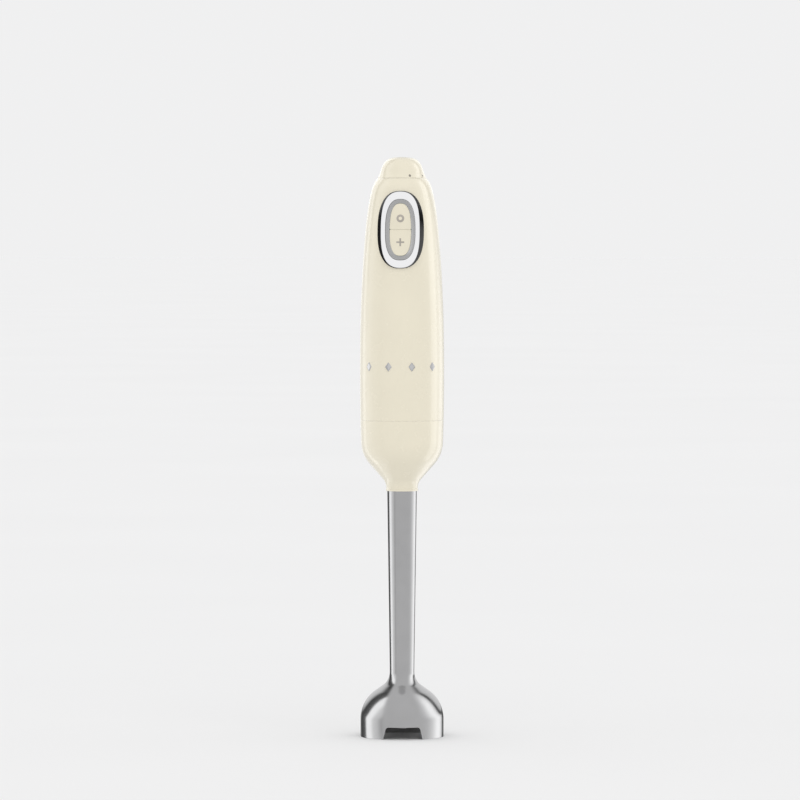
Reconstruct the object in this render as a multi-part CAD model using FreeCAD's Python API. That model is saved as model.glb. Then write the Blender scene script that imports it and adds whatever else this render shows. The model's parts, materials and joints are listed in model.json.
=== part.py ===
import FreeCAD, Part

import math
import os

from FreeCAD import Vector

# Immersion blender, standing on the rim of its bell.  Millimetres and degrees.
# The origin is the centre of the bell's rim plane, +Z runs up the drive axis,
# and the buttons face -Y.

# ---------------------------------------------------------------- driving dimensions

HEIGHT = 400.0              # bell rim to the crown of the speed dial
DIAL_SEAM_Z = 385.4         # top edge of the motor housing
FOOT_SEAM_Z = 218.8         # bottom edge of the motor housing
SEAM_GAP = 0.3              # air gap at the seams between moving bodies
HOUSING_WALL = 2.4
RUN_FIT = 0.05              # radial clearance of a shaft in its bush
FACE_FIT = 0.02             # clearance between faces that touch in use

# Outside of the motor housing: radius and height, from the foot seam to the dial seam.
HOUSING_CURVE = (
    (28.8, FOOT_SEAM_Z),
    (29.1, 254.0),
    (28.2, 302.0),
    (25.1, 350.0),
    (21.2, 376.0),
    (19.7, 380.8),
    (17.0, DIAL_SEAM_Z),
)

# Speed dial
DIAL_BASE_R = 16.6
DIAL_CURVE = (
    (DIAL_BASE_R, DIAL_SEAM_Z + SEAM_GAP),
    (15.4, 388.4),
    (14.3, 391.8),
    (12.7, 395.4),
    (9.6, 398.4),
    (5.0, 399.7),
    (0.0, HEIGHT),
)
DIAL_HUB_R = 5.4
DIAL_HUB_BOTTOM_Z = 377.0
DIAL_CLIP_ZS = (378.6, 379.6)
CLIP_DEPTH = 0.8            # how far the clip reaches into the hub
DIAL_MARK_PITCH = 42.0      # angle between speed marks
DIAL_FIRST_MARK = 22.5      # first mark, to the right of the front
DIAL_MARKS = 5
DIAL_MARK_R = 0.9           # of the first mark; each next one is smaller
DIAL_MARK_STEP = 0.1
DIAL_MARK_Z = 387.1

# Egg-shaped button field on the front: half width, rise above and drop below its widest height.
# Its outline is a superellipse, squarer towards the buttons.
EGG_Z = 348.6
EGG_HALF_WIDTH = 15.95
EGG_RISE = 28.4
EGG_DROP = 25.1
EGG_POWER = 2.5
EGG_POWER_GAIN = 0.015      # for each millimetre of inset
EGG_POINTS = 12             # in a quarter of the outline
BEZEL_BAND = 5.8            # width of the chrome bezel's face
BEZEL_PROUD = 1.2
BEZEL_SUNK = 1.3
BUTTON_INSET = 8.6          # from the bezel's outer edge to the buttons
BUTTON_GAP = 0.35
BUTTON_SPLIT_Z = 350.0
BUTTON_PROUD = 0.3
BUTTON_DEPTH = 4.7          # back of a button, behind the housing's surface
FLANGE_FRONT = -3.9         # retaining flange of a button, behind the housing's surface
FLANGE_BACK = -5.0
FLANGE_SPREAD = 1.6         # how far the flange reaches beyond the cap
STEM_R = 2.2
STEM_FRONT_Y = -22.0
SWITCH_REACH = 2.0          # from a switch's front to the button's stem
SEAL_OUTER_INSET = 3.6
SEAL_INNER_INSET = 5.8
SEAL_BACK = -3.6            # back of the button seal, behind the housing's surface
POWER_Z = 357.7
TURBO_Z = 341.4
ICON_R = 2.8                # outside of the ring icon
ICON_HOLE_R = 1.1
ICON_ARM = 2.7              # half length of the plus icon's arms
ICON_ARM_HALF = 0.5         # half their width
ICON_DEPTH = 0.3
ICON_PROUD = 0.05

# Row of four plain pips on the housing
PIP_Z = 256.0
PIP_ANGLES = (-48.0, -16.0, 16.0, 48.0)
PIP_WIDTH = 4.6
PIP_HEIGHT = 6.4
PIP_PROUD = 0.5

# Foot: cream sleeve, steel tube and bell
SLEEVE_TOP_Z = FOOT_SEAM_Z - SEAM_GAP
SLEEVE_BOTTOM_Z = 169.8
SLEEVE_WALL = 2.2
SLEEVE_TOP_R = 28.75
SLEEVE_SHOULDER_R = 28.15
SLEEVE_MOUTH_R = 10.9
HOLDER_TOP_Z = 208.0        # top face of the insert that holds the tube
HOLDER_SCREW_PCR = 20.0
HOLDER_SCREW_R = 1.25
FOOT_BUSH_R = 7.0
SEAL_R = 5.0                # outside of the lower bush and of the shaft seal
CARRIER_TOP_Z = 66.0
CARRIER_BOTTOM_Z = 31.0
TUBE_TOP_R = 10.2
TUBE_NECK_R = 8.45
TUBE_WALL = 1.0
TUBE_TOP_Z = 200.0
BELL_TOP_Z = 46.5
BELL_R = 28.7
BELL_WALL = 1.0
BELL_SLOPE = 0.705          # fall of the straight slope between neck and shoulder, for each unit outwards
BELL_NECK_Z = 38.8          # height of that slope, carried on to the neck's radius
BELL_NECK_ROUND = 11.0
BELL_SHOULDER_ROUND = 24.0
NOTCHES = 3
NOTCH_HEIGHT = 8.4
NOTCH_FOOT_WIDTH = 27.2
NOTCH_TOP_WIDTH = 23.2
NOTCH_CORNER_R = 2.2
NOTCH_TURN = 4.0            # of the front notch, to the right

# Bayonet between the motor unit and the foot
SPIGOT_R = 20.0
SPIGOT_WALL = 2.4
SPIGOT_TOP_Z = 233.0
LUGS = 3
LUG_R = 23.0
LUG_HALF_ANGLE = 11.0
LUG_BOTTOM_Z = 228.5
LUG_TOP_Z = 232.0
SLOT_EXTRA = 2.0            # each side of a lug, in degrees
BAYONET_R = 26.2
BAYONET_TOP_Z = 235.6
BAYONET_RIB = 1.0           # how far its rib stands out into the housing's wall
BAYONET_RIB_ZS = (229.0, 231.0)
KEY_BOTTOM_Z = 229.6        # of the notches that key the lock ring to the spigot
KEY_ANGLE = -30.0

# Drive couplers: four dogs each, with enough play for the foot to be twisted home
DOGS = 4
DOG_ANGLE = 25.0
DOG_LEAD = 7.5              # gap ahead of each dog with the foot unlocked
DOG_ROOT_R = 4.2
DOG_R = 9.0
DOG_HEIGHT = 6.1
COUPLER_MEET_Z = 222.4      # top of the foot coupler's hub

# Motor
SHAFT_R = 3.0
CORE_BOTTOM_Z = 258.0
CORE_TOP_Z = 292.0
CORE_R = 23.4
YOKE_IN_R = 19.6
POLE_FACE_R = 11.9
POLE_SHOE_R = 14.0
ARMATURE_R = 11.5
ARMATURE_SLOTS = 12
ARMATURE_SLOT_DEPTH = 5.0
ARMATURE_SLOT_WIDTH = 2.4
COIL_OVERHANG = 6.0
COMMUTATOR_R = 8.0
COMMUTATOR_BOTTOM_Z = 300.5
COMMUTATOR_TOP_Z = 310.0
BRUSH_Z = 305.0
FAN_R = 17.5
FAN_BLADES = 9
FAN_ZS = (244.6, 250.5)
ISOLATOR_R = 25.0
ISOLATOR_HEIGHT = 5.0
ISOLATOR_ZS = (240.0, 306.0)
MOTOR_BUSH_R = 6.0
MOTOR_BUSH_ZS = (237.0, 312.0)
MOTOR_BUSH_LENGTH = 6.0
MOTOR_SCREW_PCR = 21.5
MOTOR_SCREW_ANGLES = (45.0, 225.0)
MOTOR_SCREW_R = 1.2
POLE_HALF_WIDTH = 6.0
POLE_SHOE_ANGLE = 110.0
BRACKET_BOTTOM_Z = 238.0
BRACKET_TOP_Z = 315.0
BRACKET_PLATE = 3.0
VENT_IN_R = 10.5
VENT_OUT_R = 18.0
BRUSH_HALF_WIDTH = 2.5
BRUSH_HALF_HEIGHT = 3.0
HOLDER_WALL = 0.75
HOLDER_END_Y = 23.0
BRUSH_END_Y = 15.5

# Control electronics
BOARD_Y = -8.0
BOARD_THICK = 1.6
BOARD_HALF_WIDTH = 10.6
BOARD_BOTTOM_Z = 325.5
BOARD_TOP_Z = 374.0
SWITCH_SIZE = 6.2
SWITCH_DEPTH = 4.4
SWITCH_FRONT_Y = BOARD_Y - BOARD_THICK - SWITCH_DEPTH
PLUNGER_R = 1.2
POT_R = 7.6
POT_NECK_R = 4.6
POT_BOTTOM_Z = 361.0
POT_TOP_Z = 369.0

# Housing screws, driven from the rear: side offset and height of each pair
HOUSING_SCREWS = ((17.5, 328.0), (16.6, 356.0))
SCREW_R = 1.4
SCREW_HEAD_R = 2.6
SCREW_HEAD = 1.8
SCREW_SEAT_Y = 6.0
SCREW_TIP_Y = -9.0
BOSS_R = 3.7

# Air slots across the back, above the motor
AIR_SLOTS = 5
AIR_SLOT_Z = 333.0
AIR_SLOT_PITCH = 3.6
AIR_SLOT_HEIGHT = 1.6
AIR_SLOT_HALF_WIDTH = 8.5

# Cord inlet
GLAND_Z = 368.0
GLAND_BORE_R = 3.5
GLAND_R = 6.2
GLAND_INNER_Y = 14.0
GLAND_OUTER_Y = 25.4
GLAND_COLLAR = 1.6          # how far its collar stands out round the hole
GLAND_COLLAR_THICK = 1.3
CLAMP_Y = 11.0              # front of the clamp and of the posts that carry it
CLAMP_POST_XS = (-10.0, 7.0)
CLAMP_POST_WIDTH = 3.0
CLAMP_SEAT_Z = 360.0

# Drive shaft and blade
SHAFT_END_Z = 7.5
COUPLER_CAP = 1.5           # metal of the coupler above the shaft's end
BLADE_Z = 12.0
BLADE_R = 21.5
BLADE_THICK = 1.3
BLADE_HUB_DROP = 2.5

FAR = 60.0                  # reach of the cutting solids, beyond any face
AXIS = Vector(0, 0, 1)
CENTRE = Vector(0, 0, 0)


# ---------------------------------------------------------------- shape helpers

def cylinder(radius, bottom, top):
    return Part.makeCylinder(radius, top - bottom, Vector(0, 0, bottom))


def ring(inner, outer, bottom, top):
    return cylinder(outer, bottom, top).cut(cylinder(inner, bottom - 1, top + 1))


def sector(inner, outer, bottom, top, middle, width):
    """Part of a ring, its middle at an angle counted from +X."""
    wedge = Part.makeCylinder(outer, top - bottom, Vector(0, 0, bottom), AXIS, width)
    wedge = wedge.cut(cylinder(inner, bottom - 1, top + 1))
    return turned(wedge, middle - width / 2)


def box(x0, x1, y0, y1, z0, z1):
    return Part.makeBox(x1 - x0, y1 - y0, z1 - z0, Vector(x0, y0, z0))


def rod_y(radius, x, z, y0, y1):
    return Part.makeCylinder(radius, y1 - y0, Vector(x, y0, z), Vector(0, 1, 0))


def rod_z(radius, x, y, z0, z1):
    return Part.makeCylinder(radius, z1 - z0, Vector(x, y, z0))


def turned(shape, angle):
    result = shape.copy()
    result.rotate(CENTRE, AXIS, angle)
    return result


def around(shape, count, start=0.0):
    return [turned(shape, start + 360.0 * i / count) for i in range(count)]


def joined(shapes):
    first = shapes[0]
    return first.fuse(list(shapes[1:])).removeSplitter() if len(shapes) > 1 else first


def rounded_wire(corners, closed=True):
    """Lines between (radius, height, corner rounding) points, with a tangent arc at each rounding."""
    points = [Vector(r, 0, z) for r, z, _ in corners]
    count = len(points)
    edges = []
    ends = []
    for i, (_, _, rounding) in enumerate(corners):
        here = points[i]
        if rounding == 0:
            ends.append((here, here))
            continue
        back = (points[i - 1] - here).normalize()
        ahead = (points[(i + 1) % count] - here).normalize()
        half = back.getAngle(ahead) / 2
        reach = rounding / math.tan(half)
        bisector = (back + ahead).normalize()
        middle = here + bisector * (rounding / math.sin(half) - rounding)
        ends.append((here + back * reach, here + ahead * reach))
        edges.append(Part.Arc(ends[-1][0], middle, ends[-1][1]).toShape())
    for i in range(count if closed else count - 1):
        start = ends[i][1]
        end = ends[(i + 1) % count][0]
        if start.distanceToPoint(end) > 1e-6:
            edges.append(Part.LineSegment(start, end).toShape())
    return Part.Wire(Part.__sortEdges__(edges))


def revolved(wire):
    return Part.Face(wire).revolve(CENTRE, AXIS, 360)


def lathe(*corners):
    """Solid of revolution from (radius, height) or (radius, height, rounding) corners."""
    full = [corner if len(corner) == 3 else (corner[0], corner[1], 0) for corner in corners]
    return revolved(rounded_wire(full))


def spline(points, **tangents):
    curve = Part.BSplineCurve()
    curve.interpolate(Points=[Vector(r, 0, z) for r, z in points], **tangents)
    return curve.toShape()


def housing_body(offset):
    """The full housing form with its radius changed by offset, as one solid."""
    points = [(r + offset, z) for r, z in HOUSING_CURVE]
    low, high = points[0], points[-1]
    closing = Part.makePolygon([
        Vector(high[0], 0, high[1]),
        Vector(0, 0, high[1]),
        Vector(0, 0, low[1]),
        Vector(low[0], 0, low[1]),
    ])
    return revolved(Part.Wire([spline(points)] + closing.Edges))


def egg_prism(inset, y0=-FAR, y1=0.0):
    """The button field's egg outline, made smaller by inset, as a prism along Y."""
    power = 2 / (EGG_POWER + EGG_POWER_GAIN * inset)
    points = []
    for i in range(4 * EGG_POINTS):
        turn = math.pi / 2 * i / EGG_POINTS
        across = math.copysign(abs(math.sin(turn)) ** power, math.sin(turn))
        up = math.copysign(abs(math.cos(turn)) ** power, math.cos(turn))
        reach = EGG_RISE if up > 0 else EGG_DROP
        points.append(Vector((EGG_HALF_WIDTH - inset) * across, y0, EGG_Z + (reach - inset) * up))
    curve = Part.BSplineCurve()
    curve.interpolate(Points=points, PeriodicFlag=True)
    face = Part.Face(Part.Wire(curve.toShape()))
    return face.extrude(Vector(0, y1 - y0, 0))


def flat_front(offset):
    """Everything behind a front that follows the housing's height curve but is flat across, along X."""
    points = [Vector(0, -r - offset, z) for r, z in HOUSING_CURVE]
    curve = Part.BSplineCurve()
    curve.interpolate(Points=points)
    low, high = points[0], points[-1]
    closing = Part.makePolygon([high, Vector(0, 0, high.z), Vector(0, 0, low.z), low])
    face = Part.Face(Part.Wire([curve.toShape()] + closing.Edges))
    face.translate(Vector(-FAR / 2, 0, 0))
    return face.extrude(Vector(FAR, 0, 0))


def on_front(prism, low, high):
    """The part of a prism between two offsets of the housing's round surface."""
    return prism.common(housing_body(high)).cut(housing_body(low))


def on_flat(prism, low, high):
    """The part of a prism between two offsets of the button field's flat-across front."""
    return prism.common(flat_front(high)).cut(flat_front(low))


# ---------------------------------------------------------------- housing

def housing_shell():
    """Both halves together: wall, ribs for the rubber isolators and a groove for the bayonet ring."""
    core = housing_body(-HOUSING_WALL)
    wall = housing_body(0).cut(core)
    ribs = [
        ring(ISOLATOR_R + RUN_FIT, FAR, z - 0.5, z + ISOLATOR_HEIGHT + 0.5).common(core)
        for z in ISOLATOR_ZS
    ]
    wall = joined([wall] + ribs)
    low, high = BAYONET_RIB_ZS
    return wall.cut(ring(BAYONET_R - 1, BAYONET_R + BAYONET_RIB + RUN_FIT, low - RUN_FIT, high + RUN_FIT))


def screw_bosses(y0, y1):
    core = housing_body(-HOUSING_WALL / 2)
    return [
        rod_y(BOSS_R, side * x, z, y0, y1).common(core)
        for x, z in HOUSING_SCREWS
        for side in (-1, 1)
    ]


def screw_holes(radius, y0, y1):
    return [rod_y(radius, side * x, z, y0, y1) for x, z in HOUSING_SCREWS for side in (-1, 1)]


def housing_front():
    half = housing_shell().common(box(-FAR, FAR, -FAR, 0, 0, HEIGHT))
    half = joined([half] + screw_bosses(-FAR, 0))
    bezel_seat = egg_prism(-RUN_FIT).cut(housing_body(-BEZEL_SUNK))
    opening = egg_prism(BEZEL_BAND - 2 * RUN_FIT, y1=BOARD_Y)
    return half.cut([bezel_seat, opening] + screw_holes(SCREW_R + RUN_FIT, SCREW_TIP_Y - 1, 1))


def housing_rear():
    half = housing_shell().common(box(-FAR, FAR, 0, FAR, 0, HEIGHT))
    posts = [
        box(x, x + CLAMP_POST_WIDTH, CLAMP_Y, FAR, CLAMP_SEAT_Z - 6.0, CLAMP_SEAT_Z)
        .common(housing_body(-HOUSING_WALL / 2))
        for x in CLAMP_POST_XS
    ]
    half = joined([half] + screw_bosses(0, FAR) + posts)
    cuts = screw_holes(SCREW_R + 2 * RUN_FIT, -1, SCREW_SEAT_Y + 1)
    cuts += screw_holes(SCREW_HEAD_R + 4 * RUN_FIT, SCREW_SEAT_Y, FAR)
    cuts.append(rod_y(GLAND_R + RUN_FIT, 0, GLAND_Z, 5, FAR))
    for row in range(AIR_SLOTS):
        z = AIR_SLOT_Z + AIR_SLOT_PITCH * row
        cuts.append(box(-AIR_SLOT_HALF_WIDTH, AIR_SLOT_HALF_WIDTH, 10, FAR, z, z + AIR_SLOT_HEIGHT))
    return half.cut(cuts)


def bayonet_ring():
    play = 0.5
    body = ring(SPIGOT_R + play, BAYONET_R, FOOT_SEAM_Z, BAYONET_TOP_Z)
    rib = ring(BAYONET_R - 1, BAYONET_R + BAYONET_RIB, *BAYONET_RIB_ZS)
    chamber = cylinder(LUG_R + play, LUG_BOTTOM_Z - SEAM_GAP, BAYONET_TOP_Z + 1)
    slot = sector(SPIGOT_R - 2, LUG_R + play, FOOT_SEAM_Z - 1, LUG_BOTTOM_Z, -90,
                  2 * (LUG_HALF_ANGLE + SLOT_EXTRA))
    return joined([body, rib]).cut([chamber] + around(slot, LUGS))


# ---------------------------------------------------------------- bezel, buttons and badge

def button_bezel():
    band = egg_prism(0).cut(egg_prism(BEZEL_BAND))
    return band.common(flat_front(BEZEL_PROUD)).cut(housing_body(-BEZEL_SUNK))


def button_surround():
    band = egg_prism(BEZEL_BAND + RUN_FIT).cut(egg_prism(BUTTON_INSET - BUTTON_GAP))
    return on_flat(band, -3.0, -0.8)


def button_seal():
    band = egg_prism(SEAL_OUTER_INSET, y1=BOARD_Y).cut(egg_prism(SEAL_INNER_INSET, y1=BOARD_Y))
    return on_front(band, SEAL_BACK, -HOUSING_WALL - FACE_FIT)


def button_cap(z0, z1, stem_z):
    """A cap between two heights, with a hidden flange behind the surround and a stem to its switch."""
    span = box(-FAR, FAR, -FAR, 0, z0, z1)
    cap = on_flat(egg_prism(BUTTON_INSET).common(span), -BUTTON_DEPTH, BUTTON_PROUD)
    flange = on_flat(egg_prism(BUTTON_INSET - FLANGE_SPREAD).common(span), FLANGE_BACK, FLANGE_FRONT)
    stem = rod_y(STEM_R, 0, stem_z, STEM_FRONT_Y, SWITCH_FRONT_Y - SWITCH_REACH)
    return cap.fuse([flange, stem])


def icon_ring(z):
    return rod_y(ICON_R, 0, z, -FAR, 0).cut(rod_y(ICON_HOLE_R, 0, z, -FAR - 1, 1))


def icon_plus(z):
    arm = ICON_ARM
    half = ICON_ARM_HALF
    across = box(-arm, arm, -FAR, 0, z - half, z + half)
    upright = box(-half, half, -FAR, 0, z - arm, z + arm)
    return joined([across, upright])


def icon(prism):
    return on_flat(prism, BUTTON_PROUD - ICON_DEPTH, BUTTON_PROUD + ICON_PROUD)


def icon_recess(prism):
    return on_flat(prism, BUTTON_PROUD - ICON_DEPTH, BUTTON_PROUD + 1)


def power_button():
    cap = button_cap(BUTTON_SPLIT_Z + BUTTON_GAP / 2, FAR + EGG_Z, POWER_Z)
    return cap.cut(icon_recess(icon_ring(POWER_Z)))


def turbo_button():
    cap = button_cap(EGG_Z - FAR, BUTTON_SPLIT_Z - BUTTON_GAP / 2, TURBO_Z)
    return cap.cut(icon_recess(icon_plus(TURBO_Z)))


def switch_plunger(z):
    return rod_y(PLUNGER_R, 0, z, SWITCH_FRONT_Y - SWITCH_REACH, SWITCH_FRONT_Y + 1.0)


def badge_pips():
    """Four plain lozenges standing a little proud of the housing."""
    half_width = PIP_WIDTH / 2
    half_height = PIP_HEIGHT / 2
    outline = Part.makePolygon([
        Vector(half_width, -FAR, PIP_Z),
        Vector(0, -FAR, PIP_Z + half_height),
        Vector(-half_width, -FAR, PIP_Z),
        Vector(0, -FAR, PIP_Z - half_height),
        Vector(half_width, -FAR, PIP_Z),
    ])
    prism = Part.Face(outline).extrude(Vector(0, FAR, 0))
    pips = [on_front(turned(prism, angle), 0.0, PIP_PROUD) for angle in PIP_ANGLES]
    return Part.makeCompound([solid for pip in pips for solid in pip.Solids])


# ---------------------------------------------------------------- electronics and cord inlet

def control_board():
    board = box(-BOARD_HALF_WIDTH, BOARD_HALF_WIDTH, BOARD_Y - BOARD_THICK, BOARD_Y,
                BOARD_BOTTOM_Z, BOARD_TOP_Z)
    hole_r = 1.2
    edge = 2.5
    holes = [
        rod_y(hole_r, side * (BOARD_HALF_WIDTH - edge), z, -FAR, 0)
        for side in (-1, 1)
        for z in (BOARD_BOTTOM_Z + edge, BOARD_TOP_Z - edge)
    ]
    return board.cut(holes)


def micro_switches():
    half = SWITCH_SIZE / 2
    well_depth = 3.2
    bodies = []
    for z in (POWER_Z, TURBO_Z):
        body = box(-half, half, SWITCH_FRONT_Y, BOARD_Y - BOARD_THICK, z - half, z + half)
        well = rod_y(PLUNGER_R + RUN_FIT, 0, z, SWITCH_FRONT_Y - 1, SWITCH_FRONT_Y + well_depth)
        bodies.append(body.cut(well))
    return Part.makeCompound(bodies)


def suppression_capacitor():
    half_width, depth, bottom, top = 8.5, 7.0, 352.4, 359.6
    body = box(-half_width, half_width, BOARD_Y, BOARD_Y + depth, bottom, top)
    return body.makeFillet(0.8, body.Edges)


def choke_coil():
    x, y = -5.5, BOARD_Y + 4.2
    bottom, top = 327.0, 339.5
    cheek = 1.5
    core = rod_z(1.6, x, y, bottom, top)
    winding = rod_z(4.0, x, y, bottom + cheek, top - cheek)
    return joined([core, winding])


def triac_heatsink():
    left, bottom, top = 1.5, 327.0, 339.5
    fins, pitch, thick = 5, 1.7, 1.2
    back = BOARD_Y + 1.6
    tips = BOARD_Y + 7.0
    plate = box(left, left + pitch * (fins - 1) + thick, BOARD_Y, back, bottom, top)
    blades = [
        box(left + pitch * i, left + pitch * i + thick, BOARD_Y, tips, bottom, top) for i in range(fins)
    ]
    return joined([plate] + blades)


def terminal_block():
    half_width, depth, bottom, top = 7.5, 7.5, 341.0, 350.5
    ways = (-4.5, 0.0, 4.5)
    block = box(-half_width, half_width, BOARD_Y, BOARD_Y + depth, bottom, top)
    wire_holes = [rod_z(1.5, x, BOARD_Y + 4.0, bottom + 4.0, top + 1) for x in ways]
    screw_wells = [rod_y(1.4, x, bottom + 3.0, BOARD_Y + 4.5, 1.0) for x in ways]
    return block.cut(wire_holes + screw_wells)


def potentiometer():
    can = cylinder(POT_R, POT_BOTTOM_Z, POT_TOP_Z)
    neck = cylinder(POT_NECK_R, POT_TOP_Z, POT_TOP_Z + 4.0)
    bore = cylinder(SHAFT_R + RUN_FIT, POT_BOTTOM_Z + 2, HEIGHT)
    return joined([can, neck]).cut(bore)


def potentiometer_bracket():
    """Plate across the housing that holds the potentiometer by its neck."""
    reach = 14.0
    plate = cylinder(reach, POT_TOP_Z + FACE_FIT, POT_TOP_Z + 1.5)
    trimmed = plate.common(box(-FAR, FAR, BOARD_Y + 0.1, reach - 1, 0, HEIGHT))
    return trimmed.cut(cylinder(POT_NECK_R + RUN_FIT, 0, HEIGHT))


def cord_gland():
    sleeve = rod_y(GLAND_R, 0, GLAND_Z, GLAND_INNER_Y, GLAND_OUTER_Y)
    collar = rod_y(GLAND_R + GLAND_COLLAR, 0, GLAND_Z, 10, FAR)
    collar = on_front(collar, RUN_FIT, GLAND_COLLAR_THICK)
    return joined([sleeve, collar]).cut(rod_y(GLAND_BORE_R, 0, GLAND_Z, 0, FAR))


def cord_clamp():
    half_width = -CLAMP_POST_XS[0]
    thick = 2.8
    top = CLAMP_SEAT_Z + 4.0
    bar = box(-half_width, half_width, CLAMP_Y, CLAMP_Y + thick, CLAMP_SEAT_Z + RUN_FIT, top)
    screw_heads = [rod_z(1.7, x, CLAMP_Y + thick / 2, top, top + 1.4) for x in (-7.9, 7.9)]
    saddle = rod_y(GLAND_BORE_R + 0.4, 0, GLAND_Z - 0.6, 0, FAR)
    return joined([bar] + screw_heads).cut(saddle)


def housing_screws():
    screws = []
    for x, z in HOUSING_SCREWS:
        for side in (-1, 1):
            shank = rod_y(SCREW_R, side * x, z, SCREW_TIP_Y, SCREW_SEAT_Y)
            head = rod_y(SCREW_HEAD_R, side * x, z, SCREW_SEAT_Y, SCREW_SEAT_Y + SCREW_HEAD)
            slot_y = SCREW_SEAT_Y + SCREW_HEAD / 2
            slots = [
                box(side * x - half_x, side * x + half_x, slot_y, FAR, z - half_z, z + half_z)
                for half_x, half_z in ((1.5, 0.3), (0.3, 1.5))
            ]
            screws.append(joined([shank, head]).cut(slots))
    return Part.makeCompound(screws)


# ---------------------------------------------------------------- speed dial

def dial_seat():
    """Fixed plate in the housing's mouth that the dial turns in."""
    mouth_r = HOUSING_CURVE[-1][0] - HOUSING_WALL
    flange_top = DIAL_SEAM_Z - 3.6
    plate = cylinder(mouth_r - SEAM_GAP, flange_top, DIAL_SEAM_Z)
    flange = cylinder(mouth_r + 1.2, flange_top - 2.0, flange_top)
    return joined([plate, flange]).cut(cylinder(DIAL_HUB_R + RUN_FIT, 0, HEIGHT))


def dial_body():
    foot_z = DIAL_SEAM_Z + SEAM_GAP
    crown = spline(DIAL_CURVE, FinalTangent=Vector(-1, 0, 0))
    closing = Part.makePolygon([Vector(0, 0, HEIGHT), Vector(0, 0, foot_z), Vector(DIAL_BASE_R, 0, foot_z)])
    dome = revolved(Part.Wire([crown] + closing.Edges))
    hollow = lathe((DIAL_HUB_R + 2, foot_z - 1), (DIAL_BASE_R - 2, foot_z - 1), (DIAL_BASE_R - 3.6, 392.0, 2),
                   (9.5, 396.2, 2), (DIAL_HUB_R + 2, 396.6))
    hub = cylinder(DIAL_HUB_R, DIAL_HUB_BOTTOM_Z, foot_z + 3)
    socket = cylinder(SHAFT_R, 0, foot_z - 1)
    clip_groove = ring(DIAL_HUB_R - CLIP_DEPTH, FAR, *DIAL_CLIP_ZS)
    return joined([dome.cut(hollow), hub]).cut([socket, clip_groove])


def dial_clip():
    mouth = box(-1.5, 1.5, 0, FAR, 0, HEIGHT)
    return ring(DIAL_HUB_R - CLIP_DEPTH, DIAL_HUB_R + 2.2, *DIAL_CLIP_ZS).cut(mouth)


def dial_marks():
    """Round inlays that shrink from the fastest speed to the slowest."""
    marks = []
    dome = dial_body()
    for i in range(DIAL_MARKS):
        pin = rod_y(DIAL_MARK_R - DIAL_MARK_STEP * i, 0, DIAL_MARK_Z, -FAR, -10)
        inlay = pin.common(dome).cut(pin.common(cylinder(DIAL_BASE_R - 1.6, 380, 395)))
        marks.append(turned(inlay, DIAL_FIRST_MARK + DIAL_MARK_PITCH * i))
    return Part.makeCompound([solid for mark in marks for solid in mark.Solids])


def speed_dial():
    return dial_body().cut(dial_marks())


def potentiometer_shaft():
    return cylinder(SHAFT_R, POT_BOTTOM_Z + 2.3, DIAL_SEAM_Z - 0.8)


# ---------------------------------------------------------------- motor, fixed parts

def at_motor_screws(radius, z0, z1):
    return [
        turned(rod_z(radius, MOTOR_SCREW_PCR, 0, z0, z1), angle)
        for angle in MOTOR_SCREW_ANGLES
    ]


def stator_core():
    yoke = ring(YOKE_IN_R, CORE_R, CORE_BOTTOM_Z, CORE_TOP_Z)
    poles = []
    for side in (0, 180):
        shoe = sector(POLE_FACE_R, POLE_SHOE_R, CORE_BOTTOM_Z, CORE_TOP_Z, side, POLE_SHOE_ANGLE)
        neck = box(POLE_FACE_R + 1, CORE_R - 1, -POLE_HALF_WIDTH, POLE_HALF_WIDTH, CORE_BOTTOM_Z, CORE_TOP_Z)
        poles += [shoe, turned(neck, side)]
    return joined([yoke] + poles).cut(at_motor_screws(MOTOR_SCREW_R + 2 * RUN_FIT, 0, HEIGHT))


def field_coils():
    gap = 0.3
    half_width = POLE_HALF_WIDTH + gap
    coils = []
    for side in (0, 180):
        saddle = sector(POLE_SHOE_R + gap, YOKE_IN_R - gap, CORE_BOTTOM_Z - COIL_OVERHANG,
                        CORE_TOP_Z + COIL_OVERHANG, side, POLE_SHOE_ANGLE - 6)
        neck = box(0, FAR, -half_width, half_width, CORE_BOTTOM_Z - gap, CORE_TOP_Z + gap)
        coils.append(saddle.cut(turned(neck, side)))
    return Part.makeCompound(coils)


def bush_seat(z):
    return cylinder(MOTOR_BUSH_R, z, z + MOTOR_BUSH_LENGTH)


def bracket_cuts():
    return at_motor_screws(MOTOR_SCREW_R + 2 * RUN_FIT, 0, HEIGHT) + [cylinder(SHAFT_R + 1, 0, HEIGHT)]


def lower_bracket():
    bush_z = MOTOR_BUSH_ZS[0]
    floor_top = BRACKET_BOTTOM_Z + BRACKET_PLATE
    cup = ring(YOKE_IN_R, CORE_R, BRACKET_BOTTOM_Z, CORE_BOTTOM_Z)
    floor = cylinder(CORE_R, BRACKET_BOTTOM_Z, floor_top)
    boss = cylinder(MOTOR_BUSH_R + 2.5, bush_z - 0.4, bush_z + MOTOR_BUSH_LENGTH)
    vents = around(sector(VENT_IN_R, VENT_OUT_R, BRACKET_BOTTOM_Z - 1, floor_top + 1, 0, 34), 6)
    windows = around(box(YOKE_IN_R - 2, FAR, -5, 5, 247.0, 254.0), 4)
    return joined([cup, floor, boss]).cut(vents + windows + bracket_cuts() + [bush_seat(bush_z)])


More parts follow.
